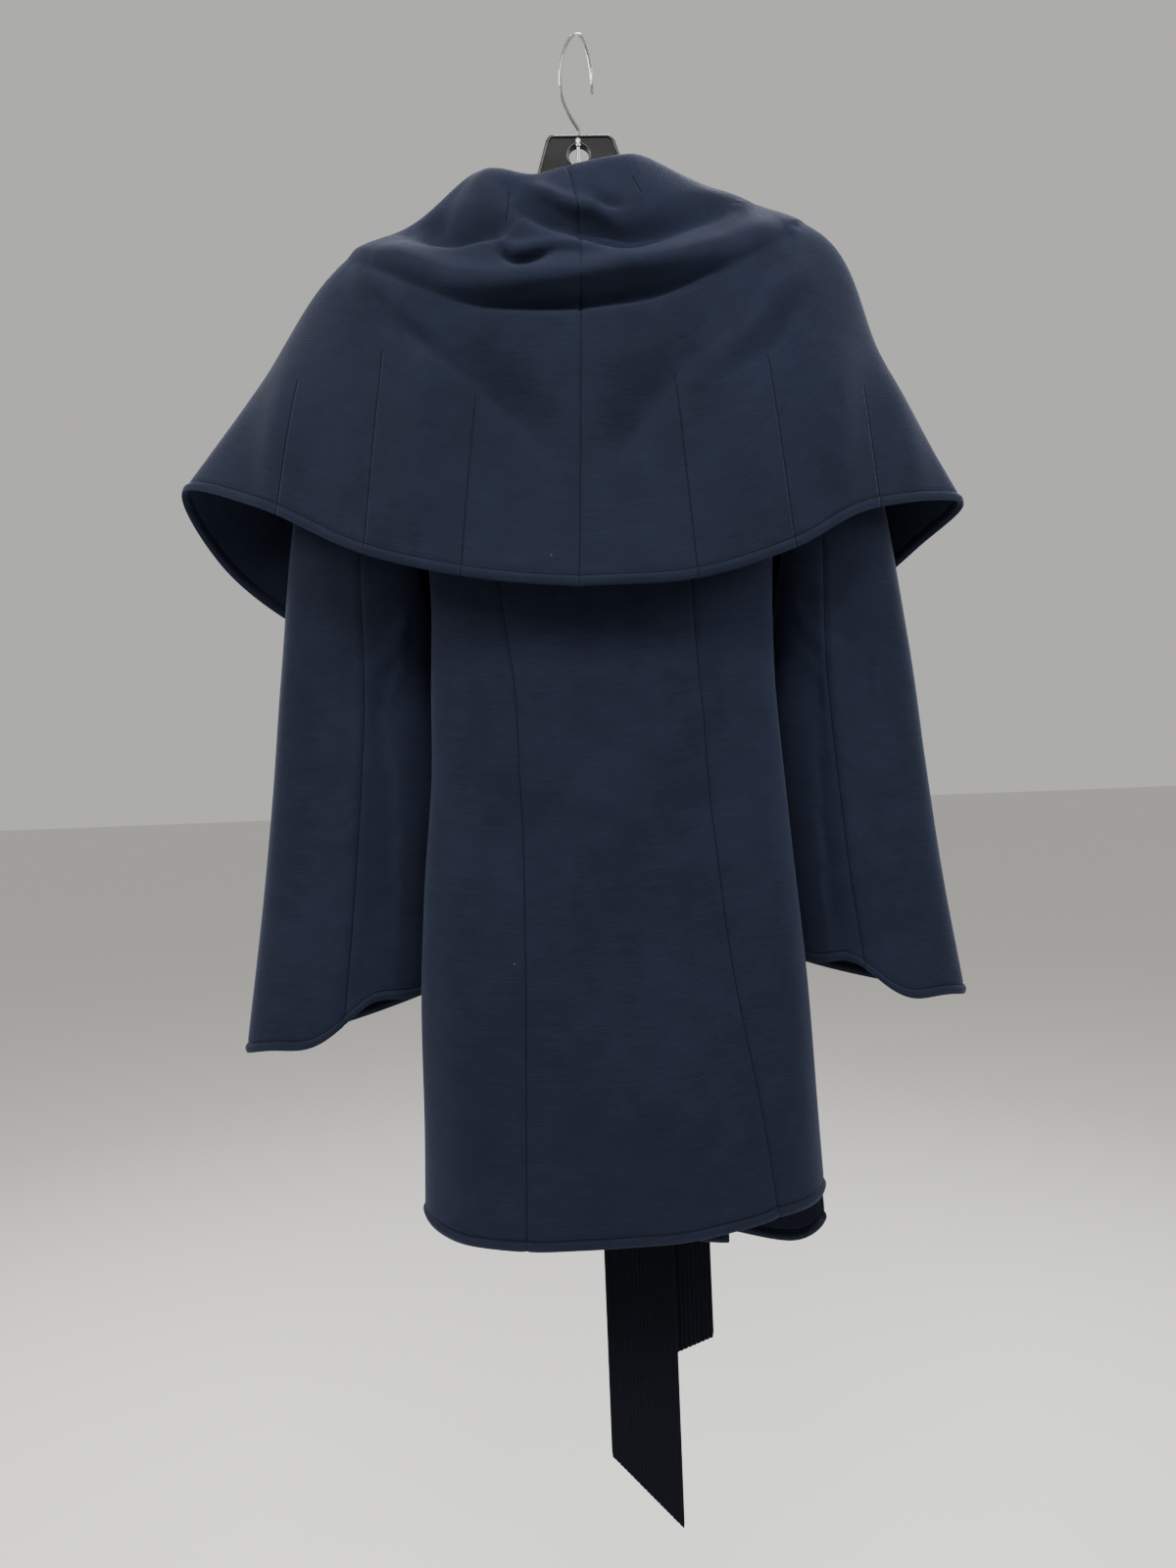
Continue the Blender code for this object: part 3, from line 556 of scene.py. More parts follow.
def wrapped(rows, cols, closed=False):
    """Quads of a grid whose columns close on themselves, and its rows too if it is closed."""
    row = np.arange(rows if closed else rows - 1)[:, None]
    after_row = (row + 1) % rows * cols
    row = row * cols
    col = np.arange(cols)[None, :]
    after = (col + 1) % cols
    return np.stack([row + col, row + after, after_row + after, after_row + col], axis=-1).reshape(-1, 4)


def sew(node, points, half, away, finish, free=(False, False)):
    """One cut piece of cloth: its shell, what it belongs to, and the cut of its flat cloth."""
    made = shell(node + "_look", points, half, away, finish, free)
    belongs(made, node)


# Materials

def maths(operation, flipped=False):
    """A Socket method that adds one Math node."""
    def method(self, *others):
        values = (*others, self) if flipped else (self, *others)
        return self.graph.node("ShaderNodeMath", {"operation": operation}, dict(enumerate(values)))
    return method


class Socket:
    """A shader output whose operators add Math nodes, so that shader maths reads as an expression."""

    def __init__(self, graph, link):
        self.graph = graph
        self.link = link

    __add__ = maths("ADD")
    __radd__ = maths("ADD", flipped=True)
    __sub__ = maths("SUBTRACT")
    __rsub__ = maths("SUBTRACT", flipped=True)
    __mul__ = maths("MULTIPLY")
    wave = maths("SINE")
    size = maths("ABSOLUTE")
    least = maths("MINIMUM")
    most = maths("MAXIMUM")

    def within(self, low, high):
        """0 below low, 1 above high, and a smooth ramp between."""
        return self.graph.node("ShaderNodeMapRange", {"interpolation_type": "SMOOTHSTEP"},
                               {"Value": self, "From Min": low, "From Max": high})

    def other(self, output):
        """Another output of the same node."""
        return Socket(self.graph, self.link.node.outputs[output])


class Graph:
    """A material's node tree with one method that adds any node."""

    def __init__(self, name, **constants):
        self.material = bpy.data.materials.new(name)
        self.material.use_nodes = True
        self.tree = self.material.node_tree
        self.shader = self.tree.nodes["Principled BSDF"]
        for socket, value in constants.items():
            self.shader.inputs[socket.replace("_", " ")].default_value = value

    def node(self, kind, settings=None, values=None, output=0):
        """Add a node: its settings first, then its sockets' values or links. Gives one of its outputs."""
        made = self.tree.nodes.new(kind)
        for key, value in (settings or {}).items():
            setattr(made, key, value)
        for key, value in (values or {}).items():
            target = made.inputs[key]
            if isinstance(value, Socket):
                self.tree.links.new(value.link, target)
            else:
                target.default_value = value
        return Socket(self, made.outputs[output])

    def feed(self, name, value):
        """Link a value to one of the shader's sockets."""
        self.tree.links.new(value.link, self.shader.inputs[name])

    def place(self):
        """Object coordinates."""
        return self.node("ShaderNodeTexCoord", output="Object")

    def cloth_place(self):
        """The cloth's own UV map, and its two ways in metres: across, and up from the hem."""
        uv = self.node("ShaderNodeUVMap", {"uv_map": "cloth"})
        split = self.node("ShaderNodeSeparateXYZ", None, {0: uv})
        return uv, split, split.other(1)

    def noise(self, vector, scale, detail=2.0, roughness=0.5):
        """Soft noise from 0 to 1."""
        return self.node("ShaderNodeTexNoise", None, {"Vector": vector, "Scale": scale, "Detail": detail,
                                                       "Roughness": roughness}, output="Fac")

    def stretched(self, vector, scale):
        """Coordinates scaled along each axis."""
        return self.node("ShaderNodeMapping", None, {"Vector": vector, "Scale": scale})

    def mix(self, share, first, second):
        """Colour between two colours."""
        settings = {"data_type": "RGBA"}
        return self.node("ShaderNodeMix", settings, {0: share, 6: first, 7: second}, output=2)

    def bump(self, height, distance, strength=1.0, normal=None):
        """Normal from a height."""
        values = {"Height": height, "Distance": distance, "Strength": strength}
        if normal is not None:
            values["Normal"] = normal
        return self.node("ShaderNodeBump", None, values)


def colour(red, green, blue):
    """An opaque colour."""
    return (red, green, blue, 1.0)


CLOTH_BASE = colour(0.0034, 0.0052, 0.0128)
CLOTH_LIT = colour(0.0086, 0.0124, 0.0270)
BELT_BASE = colour(0.0006, 0.0011, 0.0040)
BELT_LIT = colour(0.0013, 0.0022, 0.0072)
SHEEN_TINT = colour(0.45, 0.52, 0.85)
SEAM_SHADE = colour(0.0010, 0.0014, 0.0032)
LINT = colour(0.28, 0.30, 0.33)
PLASTIC = colour(0.0030, 0.0030, 0.0034)
PLASTIC_RUB = colour(0.0065, 0.0065, 0.0072)
WIRE_BRIGHT = colour(0.42, 0.42, 0.41)
WIRE_DULL = colour(0.26, 0.26, 0.26)
FLOOR = colour(0.74, 0.73, 0.70)
SKY = colour(0.86, 0.85, 0.82)
SKY_STRENGTH = 0.62
COURSE = 0.0014
WALE = 0.0011
DART_END = 0.004
LINE_CORE = 0.0003


def dart_lines(graph, darts, face):
    """Distance in x and z to the nearest sewn dart of one face, out of reach on the other face."""
    x = graph.node("ShaderNodeSeparateXYZ", None, {0: graph.place()})
    z = x.other(2)
    y = x.other(1)
    nearest = None
    for (x0, z0), (x1, z1) in darts:
        length = math.hypot(x1 - x0, z1 - z0)
        dx = (x1 - x0) / length
        dz = (z1 - z0) / length
        along = (x - x0) * dx + (z - z0) * dz
        aside = ((x - x0) * dz - (z - z0) * dx).size()
        far = aside + (along - length).most(-DART_END - along).most(0.0)
        nearest = far if nearest is None else nearest.least(far)
    return nearest + (y * -face).within(0.0, 0.01)


def cloth_material(name, base, lit, sheen, darts=None, hem=True, channels=False):
    """Firm matte knit: fine courses, a soft nap and mottling, a sewn hem, and darts or rows if any."""
    graph = Graph(name, Sheen_Weight=sheen, Sheen_Roughness=0.45, Specular_IOR_Level=0.14)
    graph.shader.inputs["Sheen Tint"].default_value = SHEEN_TINT
    spot = graph.place()
    uv, across, rise = graph.cloth_place()
    mottled = graph.noise(spot, 9.0, 4.0, 0.6)
    nap = graph.noise(spot, 900.0, 2.0, 0.6)
    course = (rise * (2 * math.pi / COURSE)).wave() * 0.5 + 0.5
    wale = (across * (2 * math.pi / WALE)).wave() * 0.5 + 0.5
    slub = graph.noise(graph.stretched(uv, (26.0, 560.0, 1.0)), 1.0, 3.0, 0.6)
    patches = graph.noise(spot, 38.0, 3.0, 0.6)
    lit_share = mottled.within(0.30, 0.72) * 0.40 + patches.within(0.35, 0.65) * 0.20
    shade = graph.mix(lit_share + slub.within(0.25, 0.75) * 0.40, base, lit)
    edge = graph.node("ShaderNodeAttribute", {"attribute_name": "edge"}, output="Fac")
    line = 1.0 - edge.within(0.0001, 0.0009)
    if hem:
        band = (rise - HEM_STITCH).size()
        line = line.most(1.0 - band.within(LINE_CORE, 0.0012))
    if channels:
        row = (across * (math.pi / BELT_CHANNEL)).wave().size()
        line = line.most(0.75 - row.within(0.0, 0.42) * 0.75)
    if darts:
        nearest = dart_lines(graph, darts[BACK], BACK).least(dart_lines(graph, darts[FRONT], FRONT))
        seam = 1.0 - nearest.within(LINE_CORE, 0.0013)
        line = line.most(seam)
    height = course * 0.25 + wale * 0.15 + nap * 0.35 + slub * 0.35
    shade = graph.mix(line * 0.62, shade, SEAM_SHADE)
    lint = graph.node("ShaderNodeTexVoronoi", None, {"Vector": spot, "Scale": 26.0, "Randomness": 1.0},
                      output="Distance")
    speck = 1.0 - lint.within(0.008, 0.018)
    rare = graph.noise(spot, 13.0, 0.0).within(0.60, 0.66)
    shade = graph.mix(speck * rare * 0.5, shade, LINT)
    graph.feed("Base Color", shade)
    graph.feed("Roughness", 0.80 + mottled * 0.10 + nap * 0.06)
    normal = graph.bump(height, 0.0007, 0.75)
    normal = graph.bump(1.0 - line, 0.0012, 0.9, normal)
    graph.feed("Normal", normal)
    return graph.material


def plastic_material(name, shine):
    """Black moulded plastic: slightly uneven gloss, faint flow marks and small rubs."""
    graph = Graph(name, Specular_IOR_Level=shine)
    spot = graph.place()
    flow = graph.noise(graph.stretched(spot, (12.0, 12.0, 60.0)), 1.0, 3.0)
    rub = graph.noise(spot, 160.0, 4.0, 0.7).within(0.58, 0.74)
    graph.feed("Base Color", graph.mix(rub, PLASTIC, PLASTIC_RUB))
    graph.feed("Roughness", 0.36 + flow * 0.12 + rub * 0.14)
    graph.feed("Normal", graph.bump(flow * 0.6 + rub * 0.4, 0.0002, 0.4))
    return graph.material


def wire_material():
    """Bright drawn wire: fine lengthwise drawing marks and duller patches."""
    graph = Graph("hook_wire", Metallic=1.0)
    spot = graph.place()
    drawn = graph.noise(graph.stretched(spot, (900.0, 900.0, 40.0)), 1.0, 2.0)
    dull = graph.noise(spot, 120.0, 3.0)
    graph.feed("Base Color", graph.mix(dull, WIRE_BRIGHT, WIRE_DULL))
    graph.feed("Roughness", 0.22 + dull * 0.18)
    graph.feed("Normal", graph.bump(drawn, 0.0001, 0.3))
    return graph.material


cloth = cloth_material("coat_knit", CLOTH_BASE, CLOTH_LIT, 0.10)
collar_cloth = cloth_material("collar_knit", CLOTH_BASE, CLOTH_LIT, 0.10,
                              darts={BACK: DARTS, FRONT: FRONT_DARTS})
belt_cloth = cloth_material("belt_knit", BELT_BASE, BELT_LIT, 0.02, hem=False, channels=True)
plastic = plastic_material("hanger_plastic", 0.10)
rim_plastic = plastic_material("hanger_rim", 0.55)
wire = wire_material()


# Body

def across(start, stop):
    """X at a share of the way across a panel."""
    return lambda u: start + (stop - start) * u


def hem_edge(face, x_of_u):
    """Hem of a panel, on the back or the front."""
    name = "back" if face > 0 else "front"
    return lambda u: smooth(HEM["x"], HEM[name], x_of_u(u))


def seam_angle(name, side, shift):
    """Angle of a named seam at each height, moved along by a shift in x."""
    def at(z):
        return body_angle(side * down(SEAMS, name, z) + shift, z)
    return at


def side_angle(side):
    """Outer edge of a side panel: the armhole above the underarm, then the side seam."""
    seam = side * (math.pi / 2 - SIDE_SEAM_GAP["left" if side > 0 else "right"])

    def at(z):
        arm = body_angle(side * (down(SEAMS, "armhole", z) - SEAM), z)
        return np.where(z > UNDERARM_Z, arm, seam)
    return at


def top_edge(x_of_u):
    """Top edge of a panel: just under the shoulder seam, dipping across the back of the neck."""
    def at(u):
        x = x_of_u(u)
        dip = NECK_DROP * np.clip(1 - (x / NECK_HALF)**2, 0, 1)
        return shoulder_line(x) - dip - SHOULDER_GAP
    return at


def panel(inner, outer, top, hem, face, grid, inset=0.0):
    """Body panel between two seams: angles run from seam to seam, heights from its top edge to the hem."""
    cols, rows, width, length = grid
    u = seam_ease(cols, width)[None, :]
    v = drawn_up(hem_ease(rows, length)[:, None], *PANEL_DRAW)
    high = top(u)
    z = high + (hem(u) - high) * v
    left = inner(z)
    angle = left + (outer(z) - left) * u
    return body_surface(angle, z, face, inset)


def away_of(points, towards):
    """1 where the grid's normal points along `towards` at its middle, -1 where it points the other way."""
    normal = outward(points, 1)
    middle = normal[points.shape[0] // 2, points.shape[1] // 2]
    return 1 if float(np.dot(middle, towards)) > 0 else -1


def body_piece(name, points, face, free=(False, False)):
    """Fold, thicken and place one panel of the body."""
    away = away_of(points, (0, face, 0))
    points = sewn_in(fold(points, BODY_FOLDS, away), away, free)
    sew(name, points, thickness(points, CLOTH, free), away, cloth, free)


def build_body():
    """Centre back, side backs and the two wrap fronts."""
    body_piece("back_centre", panel(
        seam_angle("princess_right", -1, SEAM / 2), seam_angle("princess_left", 1, -SEAM / 2),
        top_edge(across(-PRINCESS_TOP["right"], PRINCESS_TOP["left"])),
        hem_edge(BACK, across(-PRINCESS_HEM["right"], PRINCESS_HEM["left"])), BACK, BACK_GRID), BACK)
    for side, word in SIDES:
        body_piece("side_back_" + word, panel(
            seam_angle("princess_" + word, side, side * SEAM / 2), side_angle(side),
            top_edge(across(side * PRINCESS_TOP[word], side * SHOULDER_END)),
            hem_edge(BACK, across(side * PRINCESS_HEM[word], side * HEM_HALF)), BACK, SIDE_GRID), BACK)
    for side, word in SIDES:
        edge = lambda z, s=side: body_angle(s * down(WRAP, "edge", z), z)
        body_piece("front_" + word, panel(
            edge, side_angle(side), top_edge(across(side * NECK_HALF, side * SHOULDER_END)),
            hem_edge(FRONT, across(-side * WRAP_HEM, side * HEM_HALF)), FRONT, FRONT_GRID,
            FRONT_INSETS[word]), FRONT, (True, False))


# Sleeves

def armhole_ring(side, turn):
    """Points round the armhole: turn 0 is its top, half a turn the underarm, a whole turn its top again."""
    z = ARMHOLE_TOP + (UNDERARM_Z - ARMHOLE_TOP) * (1 - np.cos(turn)) / 2
    angle = body_angle(side * (down(SEAMS, "armhole", z) - SEAM), z)
    ring = np.where((turn <= math.pi)[:, None], body_surface(angle, z, BACK), body_surface(angle, z, FRONT))
    ring[:, 0] += side * SLEEVE_SEAM
    return ring


def cuff_wave(reach, at_back):
    """Rise of the cuff's hem round the sleeve: at the back low outside and high inside, in front low."""
    back = CUFF_RISE * bell(reach, *CUFF_HIGH) - CUFF_DROP * bell(reach, *CUFF_LOW)
    return np.where(at_back, back, -CUFF_DROP * CUFF_FRONT) * (1 - reach**2)**0.5


def sleeve_ring(depths, edges, side, turn):
    """An oval ring of the sleeve: from its outer edge round the back and on to the front."""
    station, back, front, centre_y = depths
    inner_x, inner_z, outer_x, outer_z = edges
    reach = np.cos(turn)
    x = side * ((outer_x + inner_x) / 2 + reach * (outer_x - inner_x) / 2)
    z = (outer_z + inner_z) / 2 + reach * (outer_z - inner_z) / 2
    if station == 1.0:
        z = z + cuff_wave(reach, np.sin(turn) >= 0)
    depth = np.where(np.sin(turn) >= 0, back, front)
    y = centre_y + depth * np.sign(np.sin(turn)) * np.abs(np.sin(turn))**SLEEVE_POWER
    return np.stack([x, y, z], axis=-1)


def build_sleeves():
    """Two bell sleeves of two pieces each, parted by the seam down the back and one down the front."""
    cols, rows, width, length = SLEEVE_GRID
    front_turn = math.radians(FRONT_SEAM_TURN)
    gap = SLEEVE_SEAM_GAP
    for side, word in SIDES:
        back_turn = math.radians(SLEEVE_SEAM_TURN[word])
        parts = (("outer", -front_turn, back_turn), ("inner", back_turn, 2 * math.pi - front_turn))
        stations = [0.0] + [row[0] for row in SLEEVE_DEPTHS]
        for part, first, last in parts:
            turn = (first + gap + (last - first - 2 * gap) * seam_ease(cols, width)) % (2 * math.pi)
            rings = [armhole_ring(side, turn)]
            rings += [sleeve_ring(*row, side, turn) for row in zip(SLEEVE_DEPTHS, SLEEVE_EDGES[word])]
            points = smooth(stations, np.array(rings), hem_ease(rows, length))
            away = away_of(points, (side, 0, 0) if part == "outer" else (-side, 0, 0))
            points = sewn_in(fold(points, SLEEVE_FOLDS, away), away)
            sew(f"sleeve_{word}_{part}", points, thickness(points, CLOTH), away, cloth)


# Collar

def collar_roots(word, side, u, roll_at):
    """Neck edge and fold of the collar: on the neckline across the back, then along the front's wrap edge."""
    z_front = np.minimum(roll_at[:, 2], SHOULDER_TOP - NECK_STEP)
    edge_x = side * (down(WRAP, "edge", z_front) - COLLAR_SEAM)
    front = body_surface(body_angle(edge_x, z_front), z_front, FRONT, FRONT_INSETS[word])
    x_back = np.clip(roll_at[:, 0], -NECK_HALF + NECK_INSET, NECK_HALF - NECK_INSET)
    z_back = shoulder_line(x_back) - NECK_DROP * np.clip(1 - (x_back / NECK_HALF)**2, 0, 1)
    back = body_surface(body_angle(x_back, z_back), z_back, BACK)
    back[:, 2] += NECK_LIFT
    front_share = np.clip((u - FRONT_FROM) / TURN_RUN, 0, 1)[:, None]
    roll_share = np.clip((u - ROLL_FROM) / TURN_RUN, 0, 1)[:, None]
    roll = front + np.array(ROLL_OFFSET) * (side, 1, 1)
    neck = back * (1 - front_share) + front * front_share
    return neck, roll_at * (1 - roll_share) + roll * roll_share


def build_collar():
    """Cape collar: up from the neckline, over at the fold and down to its own hem, in two halves."""
    (back_cols, front_cols), rows, width, length = COLLAR_GRID
    for side, word, table in ((1, "left", COLLAR_LEFT), (-1, "right", COLLAR_RIGHT)):
        stations = [row[0] for row in table]
        first = np.array(SEAM_ROWS) / width
        u = np.concatenate([first, np.linspace(first[-1], FRONT_FROM, back_cols)[1:],
                            np.linspace(FRONT_FROM, 1, front_cols)[1:]])
        lines = [smooth(stations, [row[k] for row in table], u) for k in range(1, len(table[0]))]
        lines[0:1] = collar_roots(word, side, u, lines[0])
        points = smooth(COLLAR_RUN, np.array(lines), drawn_up(hem_ease(rows, length), *COLLAR_DRAW))
        points[:, 0, 0] += side * SEAM / 2
        away = away_of(points, (0.7 * side, 0.5, 0.3))
        free = (False, True)
        points = sewn_in(fold(points, COLLAR_FOLDS, away), away, free)
        sew("collar_" + word, points, thickness(points, CLOTH, free), away, collar_cloth,
            free)


# Belt

KNOT_SLANT = 0.38
KNOT_PINCH = 0.10
KNOT_PINCH_WIDTH = 0.45
KNOT_FLARE = 0.05
KNOT_WRAP = 0.16
KNOT_PULLS = ((1.0, 0.34, 0.20), (-0.8, -0.05, 0.13), (0.7, -0.46, 0.22))
KNOT_ROOT = 0.42
KNOT_POWER = 0.42
KNOT_GRID = (144, 73)
TIE_GRID = (90, 92)
END_GRID = (98, 150)
CHANNEL_DEPTH = 0.0011
CHANNEL_POWER = 0.6
CHANNEL_EASE = 0.002
BELT_SPREAD = 0.22
BELT_SWAY = 0.0022
BELT_SWAY_TURNS = 7.0
# A hanging end: name, depth in front of the knot, and x and z of its two lower corners
BELT_ENDS = (
    ("belt_end_long", 0.013, 0.020, -1.346, -0.047, -1.419),
    ("belt_end_short", 0.021, -0.016, -1.262, -0.083, -1.236),
)


def quilted(width):
    """Half thickness of the belt across its width: rows of stitching sunk between rounded channels."""
    edge = np.minimum(width, width.max(axis=1, keepdims=True) - width)
    channel = np.abs(np.sin(math.pi * width / BELT_CHANNEL))**CHANNEL_POWER
    return BELT_WALL / 2 - CHANNEL_DEPTH * (1 - channel) * np.clip(edge / CHANNEL_EASE, 0, 1)


def knot_back():
    """Y of the knot's back face: just clear of the ties at the middle of the front."""
    front = body_surface(np.array([0.0]), np.array([WAIST_Z]), FRONT, FRONT_INSETS["right"])[0, 1]
    return float(front) - BELT_LIFT - BELT_WALL / 2 - 2 * SEAM


def belt_piece(node, points, towards):
    """Quilt and place one length of the belt, both its edges free."""
    away = away_of(points, towards)
    half = quilted(run_lengths(points, 1))
    sew(node, points, half, away, belt_cloth, (True, True))


def build_belt():
    """The ties round the front and the two hanging ends, all sewn in lengthwise rows."""
    cols, rows = TIE_GRID
    for side, word in SIDES:
        u = np.linspace(0, 1, cols)[None, :]
        z = WAIST_Z + BELT_WIDTH * (0.5 - np.linspace(0, 1, rows))[:, None] + 0 * u
        centre = body_angle(KNOT_X + side * SEAM, z)
        start = side * math.radians(TIE_START)
        angle = start + (centre - start) * u
        lift = np.stack([np.sin(angle), -np.cos(angle), 0 * z], axis=-1)
        points = body_surface(angle, z, FRONT, FRONT_INSETS["right"]) + lift * BELT_LIFT
        belt_piece("belt_tie_" + word, np.swapaxes(points, 0, 1), (side * 0.4, -1, 0))
    cols, rows = END_GRID
    v = np.linspace(0, 1, rows)[:, None]
    u = np.linspace(0, 1, cols)[None, :]
    top_z = WAIST_Z - KNOT_SIZE[2] / 2 - 2 * SEAM
    root = KNOT_SIZE[0] * KNOT_ROOT
    spread = np.sin(np.clip(v / BELT_SPREAD, 0, 1) * math.pi / 2)
    for name, depth, left_x, left_z, right_x, right_z in BELT_ENDS:
        x_left = KNOT_X + root + (left_x - KNOT_X - root) * spread
        x_right = KNOT_X - root + (right_x - KNOT_X + root) * spread
        z = top_z + (left_z + (right_z - left_z) * u - top_z) * v
        x = x_left + (x_right - x_left) * u
        y = knot_back() - depth + BELT_SWAY * np.sin(BELT_SWAY_TURNS * v) + 0 * u
        belt_piece(name, np.stack([x, y, z], axis=-1), (0, -1, 0))


def soft_block(turns, tilts, power):
    """Rounded block from -1 to 1: a superellipsoid, rows from bottom to top and columns round it."""
    turn = np.linspace(0, 2 * math.pi, turns, endpoint=False)
    tilt = np.linspace(-math.pi / 2, math.pi / 2, tilts)

    def bent(value):
        return np.sign(value) * np.abs(value)**power

    ring = bent(np.cos(tilt))[:, None]
    rise = bent(np.sin(tilt))[:, None] + 0 * turn
    return np.stack([ring * bent(np.cos(turn)), ring * bent(np.sin(turn)), rise], axis=-1)


def knot_form(points):
    """The block pressed into a knot: narrower at its middle, its front crossed by slanting pulls."""
    x, y, z = points[..., 0], points[..., 1], points[..., 2]
    front = np.clip(-y, 0, 1)
    slant = z + KNOT_SLANT * x
    pinch = 1 - KNOT_PINCH * bell(z, 0, KNOT_PINCH_WIDTH)
    wrap = KNOT_WRAP * sum(pull * bell(slant, centre, width) for pull, centre, width in KNOT_PULLS)
    return np.stack([x * pinch, y * (1 + wrap * front), z * (1 + KNOT_FLARE * x)], axis=-1)


def build_knot():
    """Soft knot where the ties meet, with its own rows of stitching along the wrapped cloth."""
    points = knot_form(soft_block(*KNOT_GRID, KNOT_POWER))
    size = np.array(KNOT_SIZE) / 2
    points = points * size + np.array((KNOT_X, knot_back() - KNOT_SIZE[1] / 2, WAIST_Z))
    rise = (points[..., 2] + KNOT_SLANT * points[..., 0]).ravel()
    uv = np.stack([rise, points[..., 0].ravel()], axis=-1)
    faces = wrapped(*points.shape[:2])
    made = piece("belt_knot_look", points.reshape(-1, 3), faces, belt_cloth, uv, np.full(len(rise), 1.0))
    belongs(made, "belt_knot")


# Hanger

PLATE_OUTLINE = ((-0.0500, -0.1600), (-0.0275, -0.0965), (-0.0235, -0.0925), (0.0315, -0.0910),
                 (0.0350, -0.0950), (0.0545, -0.1600))
PLATE_HALF = 0.00375
RIM_INSET = 0.0024
RIM_RADIUS = 0.0013
RIM_STEP = 0.004
# The hole's middle x and z, and its radius
HOLE = (0.0055, -0.1100, 0.0095)
LIP_OUT = 0.0012
LIP_SHARE = 0.8
LIP_POINTS = 48
# The ferrule's x, y and radius, its low and high end, and its profile as distances from each end and shares
FERRULE = (0.0057, 0.0026, 0.0027, -0.1022, -0.0942)
FERRULE_LOW = (0.0, 0.0012, 0.0020)
FERRULE_HIGH = (0.0026, 0.0012, 0.0)
FERRULE_SHARES = (0.92, 1.12, 1.0, 1.0, 1.08, 0.72)
WIRE_RADIUS = 0.0016
WIRE_STEP = 0.0012
WIRE_END = (0.0030, 0.0030, 0.0016)
WIRE_END_LIFT = 0.0020


def tube(name, path, radius, finish, sides=12, closed=False):
    """A round bar along a path of points; its radius may change from point to point."""
    path = np.asarray(path, float)
    radius = np.broadcast_to(radius, len(path))
    way = unit(np.roll(path, -1, 0) - np.roll(path, 1, 0) if closed else np.gradient(path, axis=0))
    aside = unit(np.cross(way, np.where(np.abs(way[:, 1:2]) < 0.9, (0.0, 1.0, 0.0), (1.0, 0.0, 0.0))))
    other = np.cross(way, aside)
    turn = np.linspace(0, 2 * math.pi, sides, endpoint=False)[None, :, None]
    spoke = np.cos(turn) * aside[:, None] + np.sin(turn) * other[:, None]
    ring = path[:, None] + radius[:, None, None] * spoke
    belongs(piece(name, ring.reshape(-1, 3), wrapped(len(path), sides, closed)[:, ::-1], finish))


def shrunk(outline, inset):
    """An outline of (x, z) points moved towards its middle by an inset."""
    outline = np.array(outline)
    middle = outline.mean(axis=0)
    span = np.abs(outline - middle).max(axis=0)
    return middle + (outline - middle) * (1 - inset / span)


def along(points, step):
    """Points every `step` metres along straight runs."""
    out = []
    for a, b in zip(points[:-1], points[1:]):
        count = max(2, int(np.linalg.norm(np.subtract(b, a)) / step))
        out += [np.add(a, np.subtract(b, a) * k / count) for k in range(count)]
    return np.array(out + [points[-1]])


def build_hanger():
    """The hanger keeps its solids' form and gets its finishes, thin rims, a ferrule and a wire end."""
    for name, finish in (("hanger_body", plastic), ("hanger_hook", wire)):
        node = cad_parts[name]
        node.data.materials.clear()
        node.data.materials.append(finish)
    centre_x, centre_z, radius = HOLE
    lip_radius = radius + LIP_OUT
    turn = np.linspace(0, 2 * math.pi, LIP_POINTS, endpoint=False)
    for face, word in ((BACK, "back"), (FRONT, "front")):
        edge = along(shrunk(PLATE_OUTLINE, RIM_INSET), RIM_STEP)
        path = np.stack([edge[:, 0], np.full(len(edge), face * PLATE_HALF), edge[:, 1]], axis=-1)
        tube("hanger_rim_" + word, path, RIM_RADIUS, rim_plastic)
        lip = np.stack([centre_x + lip_radius * np.cos(turn), np.full(LIP_POINTS, face * PLATE_HALF),
                        centre_z + lip_radius * np.sin(turn)], axis=-1)
        tube("hanger_lip_" + word, lip, RIM_RADIUS * LIP_SHARE, rim_plastic, closed=True)
    x, y, half, low, high = FERRULE
    heights = np.concatenate([low + np.array(FERRULE_LOW), high - np.array(FERRULE_HIGH)])
    path = np.stack([np.full(len(heights), x), np.full(len(heights), y), heights], axis=-1)
    tube("hook_ferrule", path, np.array(FERRULE_SHARES) * half, wire, sides=28)
    drop = np.array(((x, y, low), (x, y * 0.5, centre_z), (x, 0.0, centre_z - radius + WIRE_END_LIFT)))
    tube("hook_stem", along(drop, WIRE_STEP), WIRE_RADIUS, wire)
    button = soft_block(32, 13, 1.0) * np.array(WIRE_END) + drop[-1]
    belongs(piece("hook_end", button.reshape(-1, 3), wrapped(*button.shape[:2]), wire))


# Stage, light and camera

def build_stage():
    """A wide pale floor under the hanging coat, open to every side."""
    reach = FLOOR_HALF
    points = np.array([(-reach, -reach, FLOOR_Z), (reach, -reach, FLOOR_Z), (reach, reach, FLOOR_Z),
                       (-reach, reach, FLOOR_Z)])
    graph = Graph("floor", Roughness=0.9)
    graph.shader.inputs["Base Color"].default_value = FLOOR
    piece("floor", points, np.array([[0, 1, 2, 3]]), graph.material)


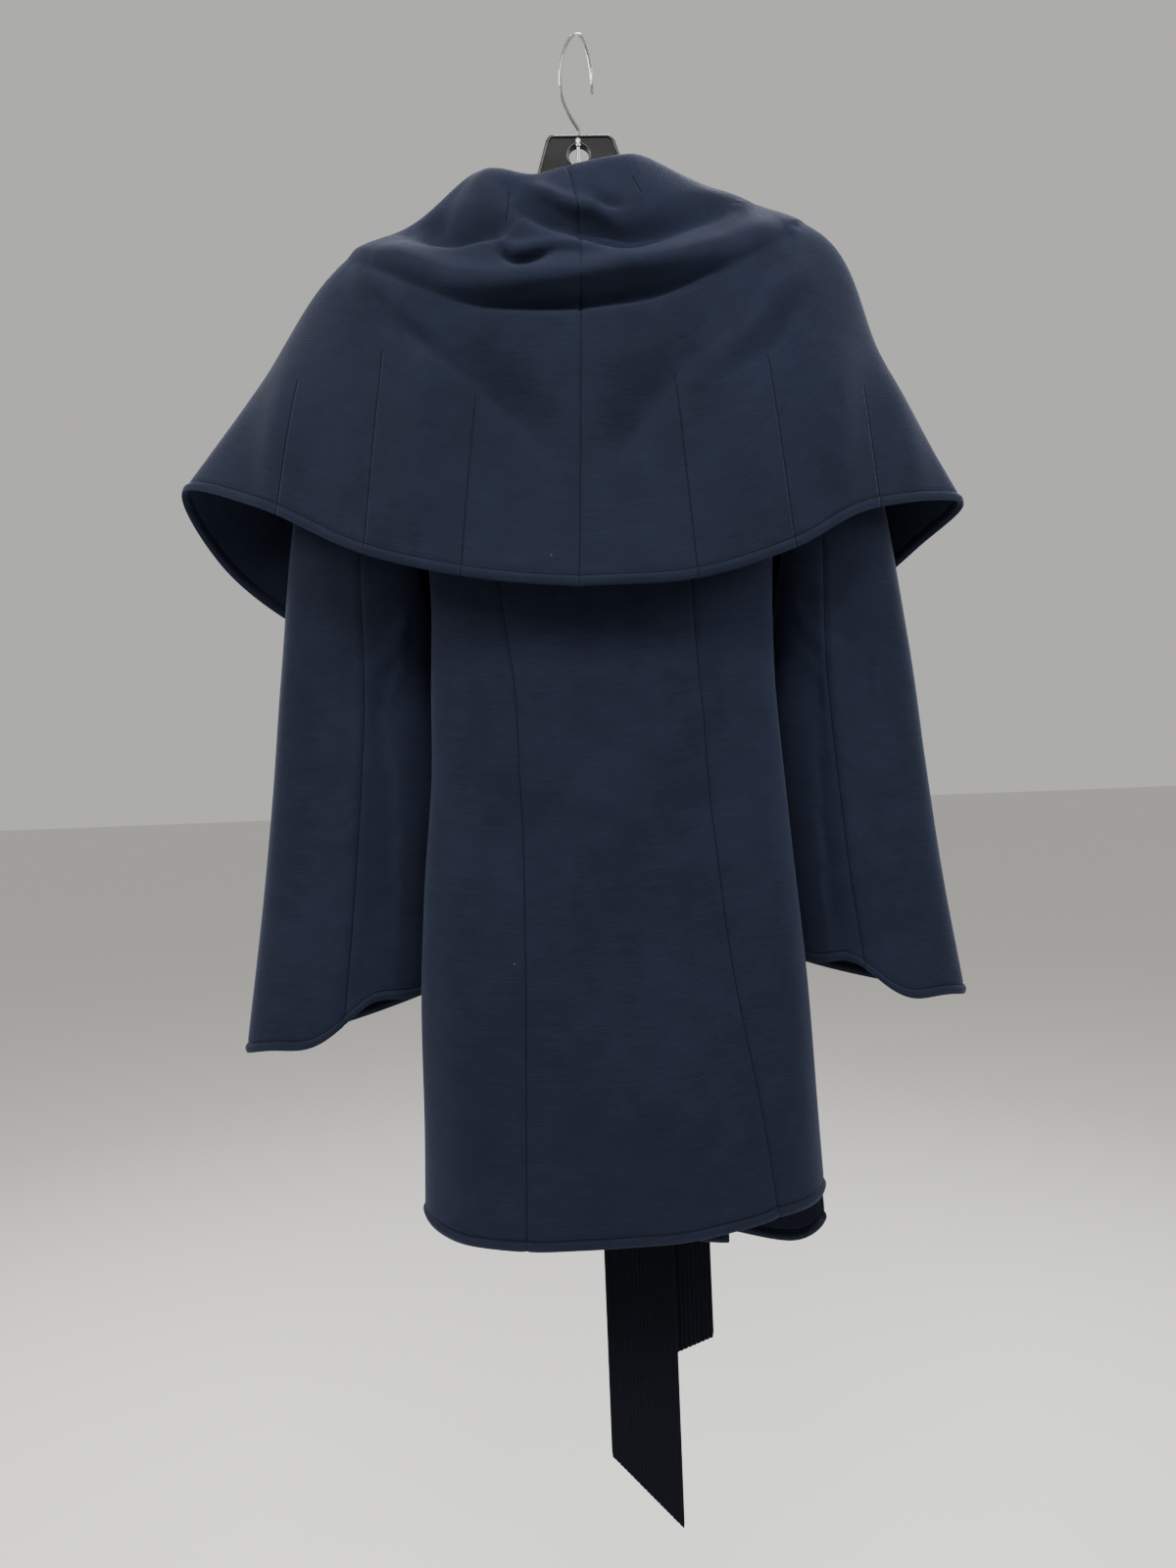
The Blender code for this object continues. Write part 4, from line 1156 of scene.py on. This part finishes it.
def add_light(name, place, aim, size, power, tint):
    """A square area light at a place, turned to its aim."""
    data = bpy.data.lights.new(name, "AREA")
    data.size = size
    data.energy = power
    data.color = tint
    made = bpy.data.objects.new(name, data)
    direction = np.array(aim, float) - np.array(place, float)
    z = -direction / np.linalg.norm(direction)
    x = np.cross((0.0, 0.0, 1.0), z)
    x /= np.linalg.norm(x)
    y = np.cross(z, x)
    made.matrix_world = Matrix([[*row, p] for row, p in zip(np.stack([x, y, z], axis=1).tolist(), place)]
                               + [[0, 0, 0, 1]])
    bpy.context.scene.collection.objects.link(made)


FLOOR_Z = -1.95
FLOOR_HALF = 60.0
CAMERA_PLACE = (0.0192, 1.08, -0.6855)
CAMERA_ROLL = math.radians(-2.2)
CAMERA_LENS = 24.0
CAMERA_SENSOR = 32.0
# Lights: name, place, aim, size, power and tint
LIGHTS = (
    ("top", (0.10, 1.90, 1.25), (0.0, 0.03, -0.75), 0.7, 52.0, (1.0, 0.985, 0.96)),
    ("side_left", (2.0, 1.25, 0.75), (0.0, 0.0, -0.62), 0.8, 60.0, (1.0, 0.98, 0.95)),
    ("side_right", (-2.0, 1.15, 0.55), (0.0, 0.0, -0.62), 1.1, 50.0, (0.92, 0.95, 1.0)),
    ("front_top", (-0.3, -1.2, 1.55), (0.0, 0.0, -0.6), 0.9, 70.0, (1.0, 0.99, 0.97)),
    ("front_left", (1.9, -1.5, 0.5), (0.0, 0.0, -0.65), 1.1, 42.0, (1.0, 0.98, 0.95)),
    ("front_right", (-1.9, -1.5, 0.4), (0.0, 0.0, -0.65), 1.2, 38.0, (0.93, 0.96, 1.0)),
)


def build_view():
    """Soft studio light from above on the camera's side, and a camera level with the coat's waist."""
    for light in LIGHTS:
        add_light(*light)
    world = bpy.data.worlds.new("studio")
    world.use_nodes = True
    world.node_tree.nodes["Background"].inputs[0].default_value = SKY
    world.node_tree.nodes["Background"].inputs[1].default_value = SKY_STRENGTH
    bpy.context.scene.world = world
    data = bpy.data.cameras.new("camera")
    data.sensor_fit = "VERTICAL"
    data.sensor_height = CAMERA_SENSOR
    data.lens = CAMERA_LENS
    made = bpy.data.objects.new("camera", data)
    level = Matrix.Rotation(math.pi, 4, "Z") @ Matrix.Rotation(math.pi / 2, 4, "X")
    made.matrix_world = Matrix.Translation(CAMERA_PLACE) @ level @ Matrix.Rotation(CAMERA_ROLL, 4, "Z")
    bpy.context.scene.collection.objects.link(made)
    bpy.context.scene.camera = made


build_body()
build_sleeves()
build_collar()
build_belt()
build_knot()
build_hanger()
build_stage()
build_view()
